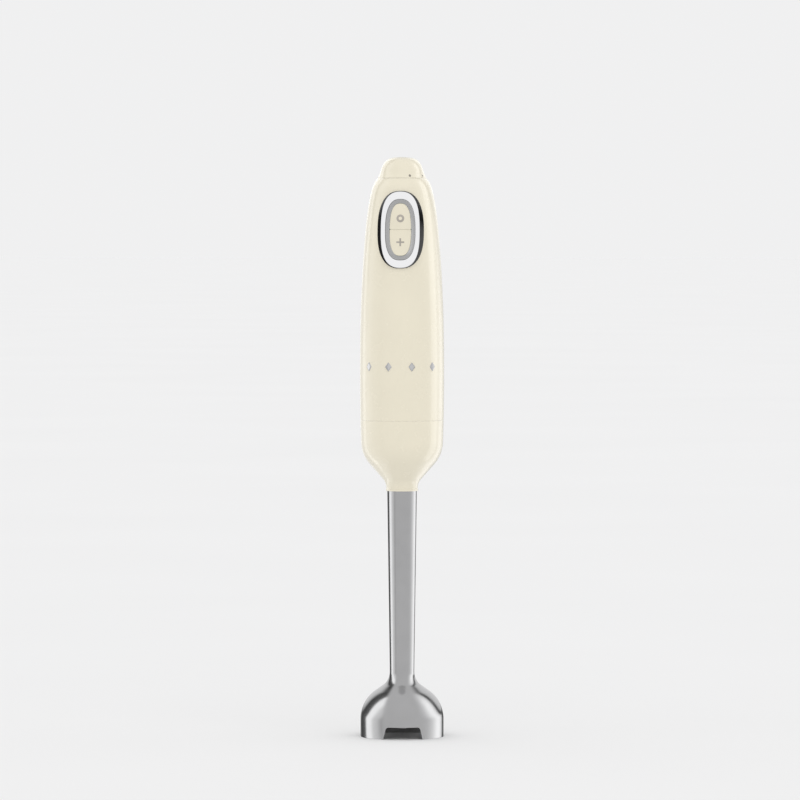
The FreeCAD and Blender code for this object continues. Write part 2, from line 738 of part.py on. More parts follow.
def upper_bracket():
    bush_z = MOTOR_BUSH_ZS[1]
    lid_bottom = BRACKET_TOP_Z - BRACKET_PLATE
    cup = ring(YOKE_IN_R, CORE_R, CORE_TOP_Z, BRACKET_TOP_Z)
    lid = cylinder(CORE_R, lid_bottom, BRACKET_TOP_Z)
    boss = cylinder(MOTOR_BUSH_R + 2.5, bush_z - 1.0, bush_z + MOTOR_BUSH_LENGTH + 0.6)
    vents = around(sector(VENT_IN_R, VENT_OUT_R, lid_bottom - 1, BRACKET_TOP_Z + 1, 45, 40), 4)
    windows = around(box(YOKE_IN_R - 2, FAR, -6, 6, 294.5, 300.0), 4, 45)
    half_width, half_height = holder_half_sizes(2 * RUN_FIT)
    brush_slot = brush_box(half_width, half_height, 5, FAR)
    cuts = vents + windows + around(brush_slot, 2) + bracket_cuts() + [bush_seat(bush_z)]
    return joined([cup, lid, boss]).cut(cuts)


def motor_bushes():
    return Part.makeCompound([
        ring(SHAFT_R + RUN_FIT, MOTOR_BUSH_R, z, z + MOTOR_BUSH_LENGTH) for z in MOTOR_BUSH_ZS
    ])


def motor_isolators():
    return Part.makeCompound([
        ring(CORE_R + FACE_FIT, ISOLATOR_R, z, z + ISOLATOR_HEIGHT) for z in ISOLATOR_ZS
    ])


def motor_screws():
    head_top = BRACKET_TOP_Z + 1.8
    screws = []
    for angle in MOTOR_SCREW_ANGLES:
        shank = rod_z(MOTOR_SCREW_R, MOTOR_SCREW_PCR, 0, BRACKET_BOTTOM_Z + 1, BRACKET_TOP_Z)
        head = rod_z(1.9, MOTOR_SCREW_PCR, 0, BRACKET_TOP_Z, head_top)
        slot = box(MOTOR_SCREW_PCR - 0.3, MOTOR_SCREW_PCR + 0.3, -FAR, FAR, head_top - 0.8, HEIGHT)
        screws.append(turned(joined([shank, head]).cut(slot), angle))
    return Part.makeCompound(screws)


def holder_half_sizes(extra):
    """Half width and half height of a brush holder, made larger by extra."""
    added = RUN_FIT + HOLDER_WALL + extra
    return BRUSH_HALF_WIDTH + added, BRUSH_HALF_HEIGHT + added


def brush_box(half_width, half_height, y0, y1):
    return box(-half_width, half_width, y0, y1, BRUSH_Z - half_height, BRUSH_Z + half_height)


def brush_holders():
    tube = brush_box(*holder_half_sizes(0), COMMUTATOR_R + 0.8, HOLDER_END_Y)
    bore = brush_box(BRUSH_HALF_WIDTH + RUN_FIT, BRUSH_HALF_HEIGHT + RUN_FIT, 0, HOLDER_END_Y - HOLDER_WALL)
    return Part.makeCompound(around(tube.cut(bore), 2))


def carbon_brushes():
    brush = brush_box(BRUSH_HALF_WIDTH, BRUSH_HALF_HEIGHT, COMMUTATOR_R - 0.6, BRUSH_END_Y)
    contact = cylinder(COMMUTATOR_R + RUN_FIT, BRUSH_Z - 5, BRUSH_Z + 5)
    return Part.makeCompound(around(brush.cut(contact), 2))


def brush_springs():
    """Coil springs between each brush and the closed end of its holder."""
    radius = 1.9
    wire = 0.3
    length = 6.0
    helix = Part.makeHelix(length / 5, length, radius)
    section = Part.Wire(Part.Circle(Vector(radius, 0, 0), Vector(0, 1, 0), wire).toShape())
    coil = Part.Wire(helix.Edges).makePipeShell([section], True, True)
    coil.rotate(CENTRE, Vector(1, 0, 0), -90)
    coil.translate(Vector(0, BRUSH_END_Y + wire + 0.1, BRUSH_Z))
    return Part.makeCompound(around(coil, 2))


# ---------------------------------------------------------------- rotor

def motor_shaft():
    return cylinder(SHAFT_R, COUPLER_MEET_Z + DOG_HEIGHT + 1.5, MOTOR_BUSH_ZS[1] + MOTOR_BUSH_LENGTH - 0.4)


def armature_slots(depth, width):
    return around(box(ARMATURE_R - depth, ARMATURE_R + 1, -width / 2, width / 2, 0, HEIGHT), ARMATURE_SLOTS)


def armature_core():
    core = ring(SHAFT_R, ARMATURE_R, CORE_BOTTOM_Z, CORE_TOP_Z)
    return core.cut(armature_slots(ARMATURE_SLOT_DEPTH, ARMATURE_SLOT_WIDTH))


def armature_winding():
    """Copper in the slots, with a rounded bundle of end turns above and below the core."""
    inner_r, outer_r = 4.2, 10.8
    low_z, high_z = CORE_BOTTOM_Z - 5.2, CORE_TOP_Z + 6.5
    half_width = ARMATURE_SLOT_WIDTH / 2 - 0.1
    bar = box(ARMATURE_R - ARMATURE_SLOT_DEPTH + 0.1, outer_r, -half_width, half_width,
              CORE_BOTTOM_Z - 2, CORE_TOP_Z + 2)
    low = lathe((inner_r, low_z, 1.5), (outer_r, low_z, 2.5),
                (outer_r, CORE_BOTTOM_Z - FACE_FIT), (inner_r, CORE_BOTTOM_Z - FACE_FIT))
    high = lathe((inner_r, CORE_TOP_Z + FACE_FIT), (outer_r, CORE_TOP_Z + FACE_FIT),
                 (outer_r, high_z, 2.5), (inner_r, high_z, 1.5))
    return joined([low, high] + around(bar, ARMATURE_SLOTS))


def commutator():
    drum = ring(SHAFT_R, COMMUTATOR_R, COMMUTATOR_BOTTOM_Z, COMMUTATOR_TOP_Z)
    slit = box(COMMUTATOR_R - 0.9, COMMUTATOR_R + 1, -0.2, 0.2, 0, COMMUTATOR_TOP_Z - 0.8)
    return drum.cut(around(slit, ARMATURE_SLOTS))


def motor_fan():
    bottom, top = FAN_ZS
    hub_r = 6.5
    plate_bottom = top - 1.2
    hub = ring(SHAFT_R, hub_r, bottom, top)
    plate = ring(SHAFT_R, FAN_R, plate_bottom, top)
    root = Vector(hub_r - 0.5, 0, 0)
    blade = box(root.x, FAN_R, -0.6, 0.6, bottom, plate_bottom + 0.1)
    blade.rotate(root, AXIS, 18)
    blade = blade.common(cylinder(FAN_R, 0, HEIGHT))
    return joined([hub, plate] + around(blade, FAN_BLADES))


def dogs(bottom, first_middle):
    dog = sector(DOG_ROOT_R, DOG_R, bottom, bottom + DOG_HEIGHT, first_middle, DOG_ANGLE)
    return around(dog, DOGS)


def motor_coupler():
    hub_z = COUPLER_MEET_Z + DOG_HEIGHT + 0.4
    hub = cylinder(DOG_R, hub_z, BRACKET_BOTTOM_Z - 2.2)
    seat = cylinder(SHAFT_R, hub_z + 0.7, HEIGHT)
    return joined([hub] + dogs(hub_z - DOG_HEIGHT + 0.1, 0)).cut(seat)


# ---------------------------------------------------------------- lock ring

def lock_ring():
    """Ring above the foot's spigot, keyed to it, that turns with the foot in the bayonet."""
    inner_r = SPIGOT_R - SPIGOT_WALL + 0.2
    outer_r = SPIGOT_R - 0.2
    body = ring(inner_r, outer_r, SPIGOT_TOP_Z + SEAM_GAP, BAYONET_TOP_Z)
    key = sector(inner_r + 0.1, outer_r - 0.1, KEY_BOTTOM_Z + 0.4, SPIGOT_TOP_Z + 1, KEY_ANGLE, 10)
    return joined([body] + around(key, LUGS))


# ---------------------------------------------------------------- foot

def foot_sleeve():
    outer = revolved(rounded_wire([
        (SLEEVE_TOP_R, SLEEVE_TOP_Z, 0),
        (SLEEVE_SHOULDER_R, 195.0, 24.0),
        (SLEEVE_MOUTH_R, 175.4, 9.0),
        (SLEEVE_MOUTH_R, SLEEVE_BOTTOM_Z, 0),
        (0, SLEEVE_BOTTOM_Z, 0),
        (0, SLEEVE_TOP_Z, 0),
    ]))
    inner_top = SLEEVE_TOP_Z - 3.0
    bore_r = TUBE_TOP_R + RUN_FIT
    cavity = revolved(rounded_wire([
        (SLEEVE_TOP_R - SLEEVE_WALL, inner_top, 0),
        (SLEEVE_SHOULDER_R - SLEEVE_WALL, 194.2, 22.0),
        (bore_r, 176.5, 0),
        (bore_r, SLEEVE_BOTTOM_Z - 1, 0),
        (0, SLEEVE_BOTTOM_Z - 1, 0),
        (0, inner_top, 0),
    ]))
    spigot = cylinder(SPIGOT_R, inner_top, SPIGOT_TOP_Z)
    lug = sector(SPIGOT_R - 1, LUG_R, LUG_BOTTOM_Z, LUG_TOP_Z, -90, 2 * LUG_HALF_ANGLE)
    key_notch = sector(SPIGOT_R - SPIGOT_WALL - 1, SPIGOT_R + 1, KEY_BOTTOM_Z, SPIGOT_TOP_Z + 1,
                       KEY_ANGLE, 12)
    solid = joined([outer.cut(cavity), spigot] + around(lug, LUGS))
    well = cylinder(SPIGOT_R - SPIGOT_WALL, inner_top - 1, SPIGOT_TOP_Z + 1)
    return solid.cut([well] + around(key_notch, LUGS))


def tube_holder():
    """Insert inside the sleeve that carries the steel tube and the upper bush."""
    disc_bottom = HOLDER_TOP_Z - 4.0
    collar_bottom = 184.0
    disc = cylinder(25.4, disc_bottom, HOLDER_TOP_Z)
    collar = cylinder(14.0, collar_bottom, disc_bottom)
    tube_seat = cylinder(TUBE_TOP_R + RUN_FIT, 0, TUBE_TOP_Z + RUN_FIT)
    bush_hole = cylinder(FOOT_BUSH_R, 0, HEIGHT)
    screw_hole = rod_z(HOLDER_SCREW_R + RUN_FIT, HOLDER_SCREW_PCR, 0, 0, HEIGHT)
    return joined([disc, collar]).cut([tube_seat, bush_hole] + around(screw_hole, 3, 30))


def holder_screws():
    head_top = HOLDER_TOP_Z + 1.8
    shank = rod_z(HOLDER_SCREW_R, HOLDER_SCREW_PCR, 0, HOLDER_TOP_Z - 6.0, HOLDER_TOP_Z)
    head = rod_z(2.4, HOLDER_SCREW_PCR, 0, HOLDER_TOP_Z, head_top)
    slot = box(HOLDER_SCREW_PCR - 0.3, HOLDER_SCREW_PCR + 0.3, -FAR, FAR, head_top - 0.8, HEIGHT)
    return Part.makeCompound(around(joined([shank, head]).cut(slot), 3, 30))


def shaft_tube():
    """Polished steel tube, tapering down to the bell."""
    wall = TUBE_WALL
    return lathe(
        (TUBE_NECK_R - wall, BELL_TOP_Z + 0.01),
        (TUBE_NECK_R, BELL_TOP_Z + 0.01),
        (TUBE_TOP_R, SLEEVE_BOTTOM_Z),
        (TUBE_TOP_R, TUBE_TOP_Z),
        (TUBE_TOP_R - wall, TUBE_TOP_Z),
        (TUBE_TOP_R - wall, SLEEVE_BOTTOM_Z),
    )


def bell_outline(inset):
    """S-curve of the bell: neck flare, straight slope, round shoulder and upright wall."""
    neck_r = TUBE_NECK_R - inset
    wall_r = BELL_R - inset
    # A wall of even thickness sits lower on the slope
    level = BELL_NECK_Z - inset * math.hypot(1, BELL_SLOPE)
    neck_z = level + BELL_SLOPE * inset
    shoulder_z = level - BELL_SLOPE * (wall_r - TUBE_NECK_R)
    return [
        (neck_r, BELL_TOP_Z, 0),
        (neck_r, neck_z, BELL_NECK_ROUND + inset),
        (wall_r, shoulder_z, BELL_SHOULDER_ROUND - inset),
        (wall_r, 0, 0),
    ]


def notch_cutter():
    foot = NOTCH_FOOT_WIDTH / 2
    top = NOTCH_TOP_WIDTH / 2
    slope = (foot - top) / NOTCH_HEIGHT
    outline = rounded_wire([
        (-foot - slope, -1, 0),
        (foot + slope, -1, 0),
        (top, NOTCH_HEIGHT, NOTCH_CORNER_R),
        (-top, NOTCH_HEIGHT, NOTCH_CORNER_R),
    ])
    face = Part.Face(outline)
    face.translate(Vector(0, -FAR, 0))
    return turned(face.extrude(Vector(0, FAR - BELL_R / 2, 0)), NOTCH_TURN)


def blade_guard():
    outer = revolved(rounded_wire(bell_outline(0) + [(0, 0, 0), (0, BELL_TOP_Z, 0)]))
    inner = revolved(rounded_wire(bell_outline(BELL_WALL) + [(0, 0, 0), (0, BELL_TOP_Z, 0)]))
    return outer.cut([inner] + around(notch_cutter(), NOTCHES))


def bearing_carrier():
    """Plug in the neck of the bell that holds the lower bush and the shaft seal."""
    neck_r = TUBE_NECK_R - TUBE_WALL - RUN_FIT
    foot_r = 11.6
    return lathe(
        (SEAL_R, CARRIER_TOP_Z),
        (neck_r, CARRIER_TOP_Z),
        (neck_r, CARRIER_BOTTOM_Z + 9.0),
        (foot_r, CARRIER_BOTTOM_Z + 3.0),
        (foot_r, CARRIER_BOTTOM_Z, 1.0),
        (SEAL_R, CARRIER_BOTTOM_Z),
    )


def foot_bushes():
    return Part.makeCompound([
        ring(SHAFT_R + RUN_FIT, SEAL_R, 40.0, 54.0),
        ring(SHAFT_R + RUN_FIT, FOOT_BUSH_R, TUBE_TOP_Z + 1, HOLDER_TOP_Z),
    ])


def shaft_seal():
    return ring(SHAFT_R + 0.08, SEAL_R, CARRIER_BOTTOM_Z + 1, CARRIER_BOTTOM_Z + 7.5)


def seal_retainer():
    return ring(SHAFT_R + 0.6, 9.0, CARRIER_BOTTOM_Z - 1.2, CARRIER_BOTTOM_Z)


# ---------------------------------------------------------------- drive shaft and blade

def drive_shaft():
    return cylinder(SHAFT_R, SHAFT_END_Z, COUPLER_MEET_Z - COUPLER_CAP)


def shaft_clip():
    bottom = HOLDER_TOP_Z + 0.4
    return ring(SHAFT_R, 5.6, bottom, bottom + 1.0)


def foot_coupler():
    hub_z, head_z = 211.0, 216.6
    hub = ring(SHAFT_R, 6.0, hub_z, head_z)
    head = cylinder(DOG_R, head_z, COUPLER_MEET_Z)
    seat = cylinder(SHAFT_R, 0, COUPLER_MEET_Z - COUPLER_CAP)
    pitch = 360.0 / DOGS
    middle = DOG_ANGLE + DOG_LEAD - pitch
    return joined([hub, head] + dogs(COUPLER_MEET_Z, middle)).cut(seat)


def blade():
    """Two swept wings, one bent up and one down, around a hub on the shaft's end."""
    hub = cylinder(5.2, BLADE_Z - BLADE_HUB_DROP, BLADE_Z + 5.0)
    outline = Part.makePolygon([
        Vector(0, -4.6, 0),
        Vector(9.0, -4.4, 0),
        Vector(19.5, -1.0, 0),
        Vector(BLADE_R, 3.4, 0),
        Vector(9.0, 4.4, 0),
        Vector(0, 4.6, 0),
        Vector(0, -4.6, 0),
    ])
    wings = []
    for side, tilt in ((0, 16), (180, -10)):
        wing = Part.Face(outline).extrude(Vector(0, 0, BLADE_THICK))
        wing.rotate(CENTRE, Vector(0, 1, 0), -tilt)
        wing.translate(Vector(0, 0, BLADE_Z))
        wings.append(turned(wing, side))
    return joined([hub] + wings).cut(cylinder(SHAFT_R, 0, HEIGHT))


def blade_nut():
    height = 3.7
    flat_r = 4.0
    bottom = BLADE_Z - BLADE_HUB_DROP - height
    turns = [math.radians(60 * i) for i in range(7)]
    corners = [Vector(flat_r * math.cos(turn), flat_r * math.sin(turn), bottom) for turn in turns]
    nut = Part.Face(Part.makePolygon(corners)).extrude(Vector(0, 0, height))
    return nut.cut(cylinder(SHAFT_R, SHAFT_END_Z, HEIGHT))


# ---------------------------------------------------------------- export

SUB_PARTS = {
    "housing_front": housing_front,
    "housing_rear": housing_rear,
    "bayonet_ring": bayonet_ring,
    "button_bezel": button_bezel,
    "button_surround": button_surround,
    "button_seal": button_seal,
    "badge_pips": badge_pips,
    "control_board": control_board,
    "micro_switches": micro_switches,
    "suppression_capacitor": suppression_capacitor,
    "choke_coil": choke_coil,
    "triac_heatsink": triac_heatsink,
    "terminal_block": terminal_block,
    "potentiometer": potentiometer,
    "potentiometer_bracket": potentiometer_bracket,
    "cord_gland": cord_gland,
    "cord_clamp": cord_clamp,
    "housing_screws": housing_screws,
    "dial_seat": dial_seat,
    "stator_core": stator_core,
    "field_coils": field_coils,
    "lower_bracket": lower_bracket,
    "upper_bracket": upper_bracket,
    "motor_bushes": motor_bushes,
    "motor_isolators": motor_isolators,
    "motor_screws": motor_screws,
    "brush_holders": brush_holders,
    "carbon_brushes": carbon_brushes,
    "brush_springs": brush_springs,
    "speed_dial": speed_dial,
    "dial_marks": dial_marks,
    "dial_clip": dial_clip,
    "potentiometer_shaft": potentiometer_shaft,
    "power_button": power_button,
    "power_icon": lambda: icon(icon_ring(POWER_Z)),
    "power_plunger": lambda: switch_plunger(POWER_Z),
    "turbo_button": turbo_button,
    "turbo_icon": lambda: icon(icon_plus(TURBO_Z)),
    "turbo_plunger": lambda: switch_plunger(TURBO_Z),
    "motor_shaft": motor_shaft,
    "armature_core": armature_core,
    "armature_winding": armature_winding,
    "commutator": commutator,
    "motor_fan": motor_fan,
    "motor_coupler": motor_coupler,
    "lock_ring": lock_ring,
    "foot_sleeve": foot_sleeve,
    "tube_holder": tube_holder,
    "holder_screws": holder_screws,
    "shaft_tube": shaft_tube,
    "blade_guard": blade_guard,
    "bearing_carrier": bearing_carrier,
    "foot_bushes": foot_bushes,
    "shaft_seal": shaft_seal,
    "seal_retainer": seal_retainer,
    "drive_shaft": drive_shaft,
    "shaft_clip": shaft_clip,
    "foot_coupler": foot_coupler,
    "blade": blade,
    "blade_nut": blade_nut,
}

os.makedirs("parts", exist_ok=True)
for node, make in SUB_PARTS.items():
    shape = make()
    shape.exportStep("parts/" + node + ".step")
    state = "valid" if shape.isValid() else "INVALID"
    print(node, len(shape.Solids), "solid(s)", round(shape.Volume, 1), "mm3", state)
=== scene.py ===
import json
import math

import bmesh
import bpy
import numpy as np
from mathutils import Matrix, Vector

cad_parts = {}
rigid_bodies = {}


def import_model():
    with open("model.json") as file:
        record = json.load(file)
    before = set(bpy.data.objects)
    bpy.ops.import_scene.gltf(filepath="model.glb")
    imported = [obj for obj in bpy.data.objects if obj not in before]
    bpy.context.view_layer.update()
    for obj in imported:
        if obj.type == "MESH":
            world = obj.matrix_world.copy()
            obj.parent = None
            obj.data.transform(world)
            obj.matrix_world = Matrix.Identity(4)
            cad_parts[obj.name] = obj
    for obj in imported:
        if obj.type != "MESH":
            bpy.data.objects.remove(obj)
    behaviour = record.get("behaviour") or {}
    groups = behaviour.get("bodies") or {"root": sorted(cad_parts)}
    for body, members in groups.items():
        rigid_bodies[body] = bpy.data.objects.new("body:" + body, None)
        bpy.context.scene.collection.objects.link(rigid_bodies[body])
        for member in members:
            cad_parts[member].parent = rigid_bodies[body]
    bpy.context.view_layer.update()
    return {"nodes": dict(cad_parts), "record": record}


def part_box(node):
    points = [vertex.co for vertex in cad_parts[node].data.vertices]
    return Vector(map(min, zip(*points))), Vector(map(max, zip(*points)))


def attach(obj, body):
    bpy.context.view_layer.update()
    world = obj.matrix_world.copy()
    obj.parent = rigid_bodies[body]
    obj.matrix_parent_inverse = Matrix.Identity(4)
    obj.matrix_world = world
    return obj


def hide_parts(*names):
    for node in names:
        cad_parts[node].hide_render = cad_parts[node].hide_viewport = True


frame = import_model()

# An immersion blender: cream handle, chrome button bezel, polished steel foot.
# Metres, +Z up the drive axis, buttons towards -Y.

MM = 0.001
NODES = frame["nodes"]

# ---------------------------------------------------------------- places taken from the frame

FOOT_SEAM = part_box("housing_front")[0].z
DIAL_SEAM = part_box("housing_front")[1].z
SEAM = 0.06 * MM            # air at the turning seams
SLEEVE_TOP = FOOT_SEAM - SEAM
SLEEVE_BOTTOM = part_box("foot_sleeve")[0].z
BELL_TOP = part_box("blade_guard")[1].z
BELL_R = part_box("blade_guard")[1].x
TUBE_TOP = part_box("shaft_tube")[1].z
TUBE_TOP_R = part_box("shaft_tube")[1].x
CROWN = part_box("speed_dial")[1].z
DIAL_BASE_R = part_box("speed_dial")[1].x
EGG_LOW, EGG_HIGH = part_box("button_bezel")
GLAND_LOW, GLAND_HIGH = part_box("cord_gland")
GLAND_Z = (GLAND_LOW.z + GLAND_HIGH.z) / 2
SPLIT_Z = (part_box("turbo_button")[1].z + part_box("power_button")[0].z) / 2

# ---------------------------------------------------------------- the forms' own dimensions

HOUSING_CURVE = (
    (28.8 * MM, FOOT_SEAM),
    (29.1 * MM, 254.0 * MM),
    (28.2 * MM, 302.0 * MM),
    (25.1 * MM, 350.0 * MM),
    (21.2 * MM, 376.0 * MM),
    (19.7 * MM, 380.8 * MM),
    (17.0 * MM, DIAL_SEAM),
)
DIAL_CURVE = (
    (DIAL_BASE_R, DIAL_SEAM + 0.3 * MM),
    (15.4 * MM, 388.4 * MM),
    (14.3 * MM, 391.8 * MM),
    (12.7 * MM, 395.4 * MM),
    (9.6 * MM, 398.4 * MM),
    (5.0 * MM, 399.7 * MM),
    (0.0, CROWN),
)
HOUSING_WALL = 2.4 * MM
HOUSING_LIP = 0.25 * MM     # rounding of the shells' ends
SIDE_SEAM = 0.06 * MM       # from the middle plane to each shell
SIDE_EDGE = (               # arc from the seam, drop of the surface there
    (0.0, 0.30 * MM),
    (0.10 * MM, 0.10 * MM),
    (0.25 * MM, 0.02 * MM),
)

SCREW_WELLS = ((17.5 * MM, 328.0 * MM), (16.6 * MM, 356.0 * MM))
SCREW_WELL_R = 2.8 * MM
SCREW_WELL_FLOOR = 6.0 * MM
AIR_SLOTS = 5
AIR_SLOT_Z = 333.0 * MM     # of the lowest one
AIR_SLOT_STEP = 3.6 * MM
AIR_SLOT_HEIGHT = 1.6 * MM
AIR_SLOT_ROUND = 0.495 * AIR_SLOT_HEIGHT
AIR_SLOT_HALF_WIDTH = 8.5 * MM
AIR_SLOT_START = 10.0 * MM
CUT_END = 60.0 * MM         # well outside the object

GLAND_BORE_R = 3.5 * MM
GLAND_R = 6.2 * MM
GLAND_END_R = 5.9 * MM
GLAND_FLANGE_R = 7.7 * MM
GLAND_FLANGE = (-0.6 * MM, 1.0 * MM)         # from and to, past the handle's surface
GLAND_SHOULDER = 1.5 * MM
GLAND_HOLE_R = 6.25 * MM
GLAND_HOLE_START = 5.0 * MM

DIAL_LIP = 0.2 * MM
DIAL_HUB_R = 5.4 * MM
DIAL_HOLLOW = (             # radius, height and rounding of its upper corners
    (DIAL_HUB_R, 394.0 * MM, 1.0 * MM),
    (9.0 * MM, 395.0 * MM, 2.0 * MM),
    (12.6 * MM, 391.0 * MM, 2.0 * MM),
)
DIAL_SKIRT_R = 14.0 * MM

EGG_Z = 348.6 * MM          # height at which the button field is widest
EGG_HALF_WIDTH = EGG_HIGH.x
EGG_TRIM = 0.5 * MM         # the field's top is this much lower than the CAD's
EGG_RISE = EGG_HIGH.z - EGG_Z - EGG_TRIM
EGG_DROP = EGG_Z - EGG_LOW.z
EGG_POWER = 2.5             # the outline is a superellipse, squarer towards the buttons
EGG_POWER_GAIN = 15.0       # for each metre of inset
OPENING_INSET = 0.8 * MM    # of the hole in the front shell
OPENING_FLOOR = 8.0 * MM
BEZEL_BAND = 5.8 * MM
BEZEL_PROUD = 1.2 * MM
BEZEL_LEAN = 2.6 * MM       # how far the bezel's wall leans in at the sides
BEZEL_LEAN_TOP = 0.2 * MM   # and at the top and the bottom
BEZEL_EDGE = 0.55 * MM      # rounding of the face's outer edge
BEZEL_INNER_EDGE = 0.6 * MM
BEZEL_DEPTH = 3.4 * MM      # of the inner wall
BEZEL_FIT = 0.02 * MM       # over the handle's surface
BEZEL_FLANGE = (1.0 * MM, 1.4 * MM)          # insets of its rear edge, outside and inside
BEZEL_FLANGE_SINK = 1.3 * MM
SURROUND_TOP = 0.25 * MM    # depths under the bezel's face
SURROUND_SLOPE = 1.6 * MM
SURROUND_BOTTOM = 3.9 * MM
SURROUND_GAP = 0.05 * MM
SURROUND_EDGE = 0.2 * MM
BUTTON_INSET = 8.6 * MM
BUTTON_PROUD = 0.3 * MM
BUTTON_GAP = 0.2 * MM       # round the buttons
SPLIT_GAP = 0.06 * MM       # between the two
SPLIT_CORNER = 0.7 * MM
POWER_Z = 357.7 * MM        # heights of the icons
TURBO_Z = 341.4 * MM
RING_HOLE_R = 1.15 * MM
RING_R = 2.7 * MM
PLUS_REACH = 2.7 * MM
PLUS_HALF = 0.55 * MM
INLAY_DEPTH = 0.2 * MM
INLAY_PROUD = 0.02 * MM
INLAY_EDGE = 0.05 * MM

PIP_Z = 256.0 * MM
PIP_ANGLES = (-48.0, -16.0, 16.0, 48.0)
PIP_HALF_WIDTH = 2.3 * MM
PIP_HALF_HEIGHT = 3.2 * MM
PIP_PROUD = 0.5 * MM
PIP_ROUND = 0.4 * MM

MARK_Z = 387.1 * MM
MARK_ANGLES = [22.5 + 42.0 * i for i in range(5)]
MARK_R = 0.85 * MM          # of the first mark; each next one is smaller
MARK_STEP = 0.1 * MM

SLEEVE_MOUTH_R = 10.9 * MM
SLEEVE_BORE_FIT = 0.05 * MM
SLEEVE_BEAD = 0.35 * MM     # how far the bead on its lower edge stands out
SLEEVE_CONE_Z = 175.4 * MM  # where the cone's line meets the mouth's
SLEEVE_SHOULDER_R = 28.15 * MM
SLEEVE_SHOULDER_Z = 195.0 * MM
SLEEVE_TOP_R = 28.75 * MM
SLEEVE_WALL = 2.2 * MM
SLEEVE_LEDGE = 3.0 * MM     # thickness of the ring that carries the spigot
BEAD_HEIGHT = 1.3 * MM
BEAD_SLOPE = 0.4 * MM
SPIGOT = (17.6 * MM, 20.0 * MM)              # inner and outer radius
SPIGOT_TOP = 233.0 * MM
LUG_R = (19.2 * MM, 23.0 * MM)
LUG_Z = (228.5 * MM, 232.0 * MM)
LUG_TURN, LUG_WIDTH = -90.0, 22.0            # degrees
KEY_R = (16.6 * MM, 21.0 * MM)
KEY_Z = (229.6 * MM, 234.0 * MM)
KEY_TURN, KEY_WIDTH = -30.0, 12.0
LUGS = 3

NECK_R = 8.45 * MM
TUBE_JOINT = 0.01 * MM      # between the tube and the bell's neck
STEEL_WALL = 1.0 * MM
BELL_RIM_EDGE = 0.3 * MM
BELL_SLOPE = 0.705          # fall of the straight slope between neck and shoulder
BELL_NECK_Z = 38.8 * MM     # height of that slope, carried on to the neck's radius
BELL_NECK_ROUND = 11.0 * MM
BELL_SHOULDER_ROUND = 24.0 * MM
NOTCHES = 3
NOTCH_HEIGHT = 8.4 * MM
NOTCH_FOOT = 13.6 * MM
NOTCH_TOP = 11.6 * MM
NOTCH_ROUND = 2.2 * MM
NOTCH_CUT_START = 15.0 * MM
NOTCH_TURN = 4.0            # degrees to the right, of the front notch

# ---------------------------------------------------------------- outlines


def spline_points(points, count):
    """Points along a natural cubic spline through the given ones."""
    known = np.array(points, float)
    reach = np.linalg.norm(np.diff(known, axis=0), axis=1)
    at = np.concatenate([[0.0], np.cumsum(reach)])
    size = len(at)
    matrix = np.eye(size)
    right = np.zeros((size, known.shape[1]))
    for i in range(1, size - 1):
        before, after = at[i] - at[i - 1], at[i + 1] - at[i]
        matrix[i, i - 1:i + 2] = before, 2 * (before + after), after
        right[i] = 6 * ((known[i + 1] - known[i]) / after - (known[i] - known[i - 1]) / before)
    bend = np.linalg.solve(matrix, right)
    result = []
    for u in np.linspace(0.0, at[-1], count):
        i = min(int(np.searchsorted(at, u, side="right")) - 1, size - 2)
        span = at[i + 1] - at[i]
        a, b = (at[i + 1] - u) / span, (u - at[i]) / span
        value = a * known[i] + b * known[i + 1]
        value += ((a ** 3 - a) * bend[i] + (b ** 3 - b) * bend[i + 1]) * span ** 2 / 6
        result.append(tuple(value))
    return result


def rounded_path(corners, steps=6, closed=True):
    """Points of an outline whose corners (a, b, radius) are rounded by tangent arcs."""
    path = []
    count = len(corners)
    for i, (a, b, radius) in enumerate(corners):
        here = Vector((a, b))
        if radius == 0 or (not closed and i in (0, count - 1)):
            path.append((a, b))
            continue
        before = corners[i - 1]
        after = corners[(i + 1) % count]
        back = (Vector(before[:2]) - here).normalized()
        ahead = (Vector(after[:2]) - here).normalized()
        half = back.angle(ahead) / 2
        reach = radius / math.tan(half)
        centre = here + (back + ahead).normalized() * radius / math.sin(half)
        start = here + back * reach - centre
        turn = start.angle_signed(here + ahead * reach - centre)
        for k in range(steps + 1):
            spoke = start.copy()
            spoke.rotate(Matrix.Rotation(-turn * k / steps, 2))
            path.append(tuple(centre + spoke))
    return path


DIAL_PROFILE = spline_points(DIAL_CURVE, 70)
HOUSING_PROFILE = spline_points(HOUSING_CURVE, 120)
PROFILE_R = [p[0] for p in HOUSING_PROFILE]
PROFILE_Z = [p[1] for p in HOUSING_PROFILE]


def housing_radius(z):
    return float(np.interp(z, PROFILE_Z, PROFILE_R))


def egg_point(turn, inset):
    """A point of the button field's outline, made smaller by inset; turn runs from the top."""
    power = 2 / (EGG_POWER + EGG_POWER_GAIN * inset)
    across = math.copysign(abs(math.sin(turn)) ** power, math.sin(turn))
    up = math.copysign(abs(math.cos(turn)) ** power, math.cos(turn))
    reach = EGG_RISE if up > 0 else EGG_DROP
    return ((EGG_HALF_WIDTH - inset) * across, EGG_Z + (reach - inset) * up)


def front_y(z, proud):
    """Depth of the flat-across front of the button field."""
    return -housing_radius(z) - proud


# ---------------------------------------------------------------- mesh helpers

SMOOTH_ANGLE = math.radians(32)      # faces that meet at more than this get a sharp edge
RING_SMOOTH_ANGLE = math.radians(45)
CAD_SMOOTH_ANGLE = math.radians(28)


def make_object(name, mesh, smooth=SMOOTH_ANGLE):
    mesh.shade_smooth()
    mesh.set_sharp_from_angle(angle=smooth)
    obj = bpy.data.objects.new(name, mesh)
    bpy.context.scene.collection.objects.link(obj)
    return obj


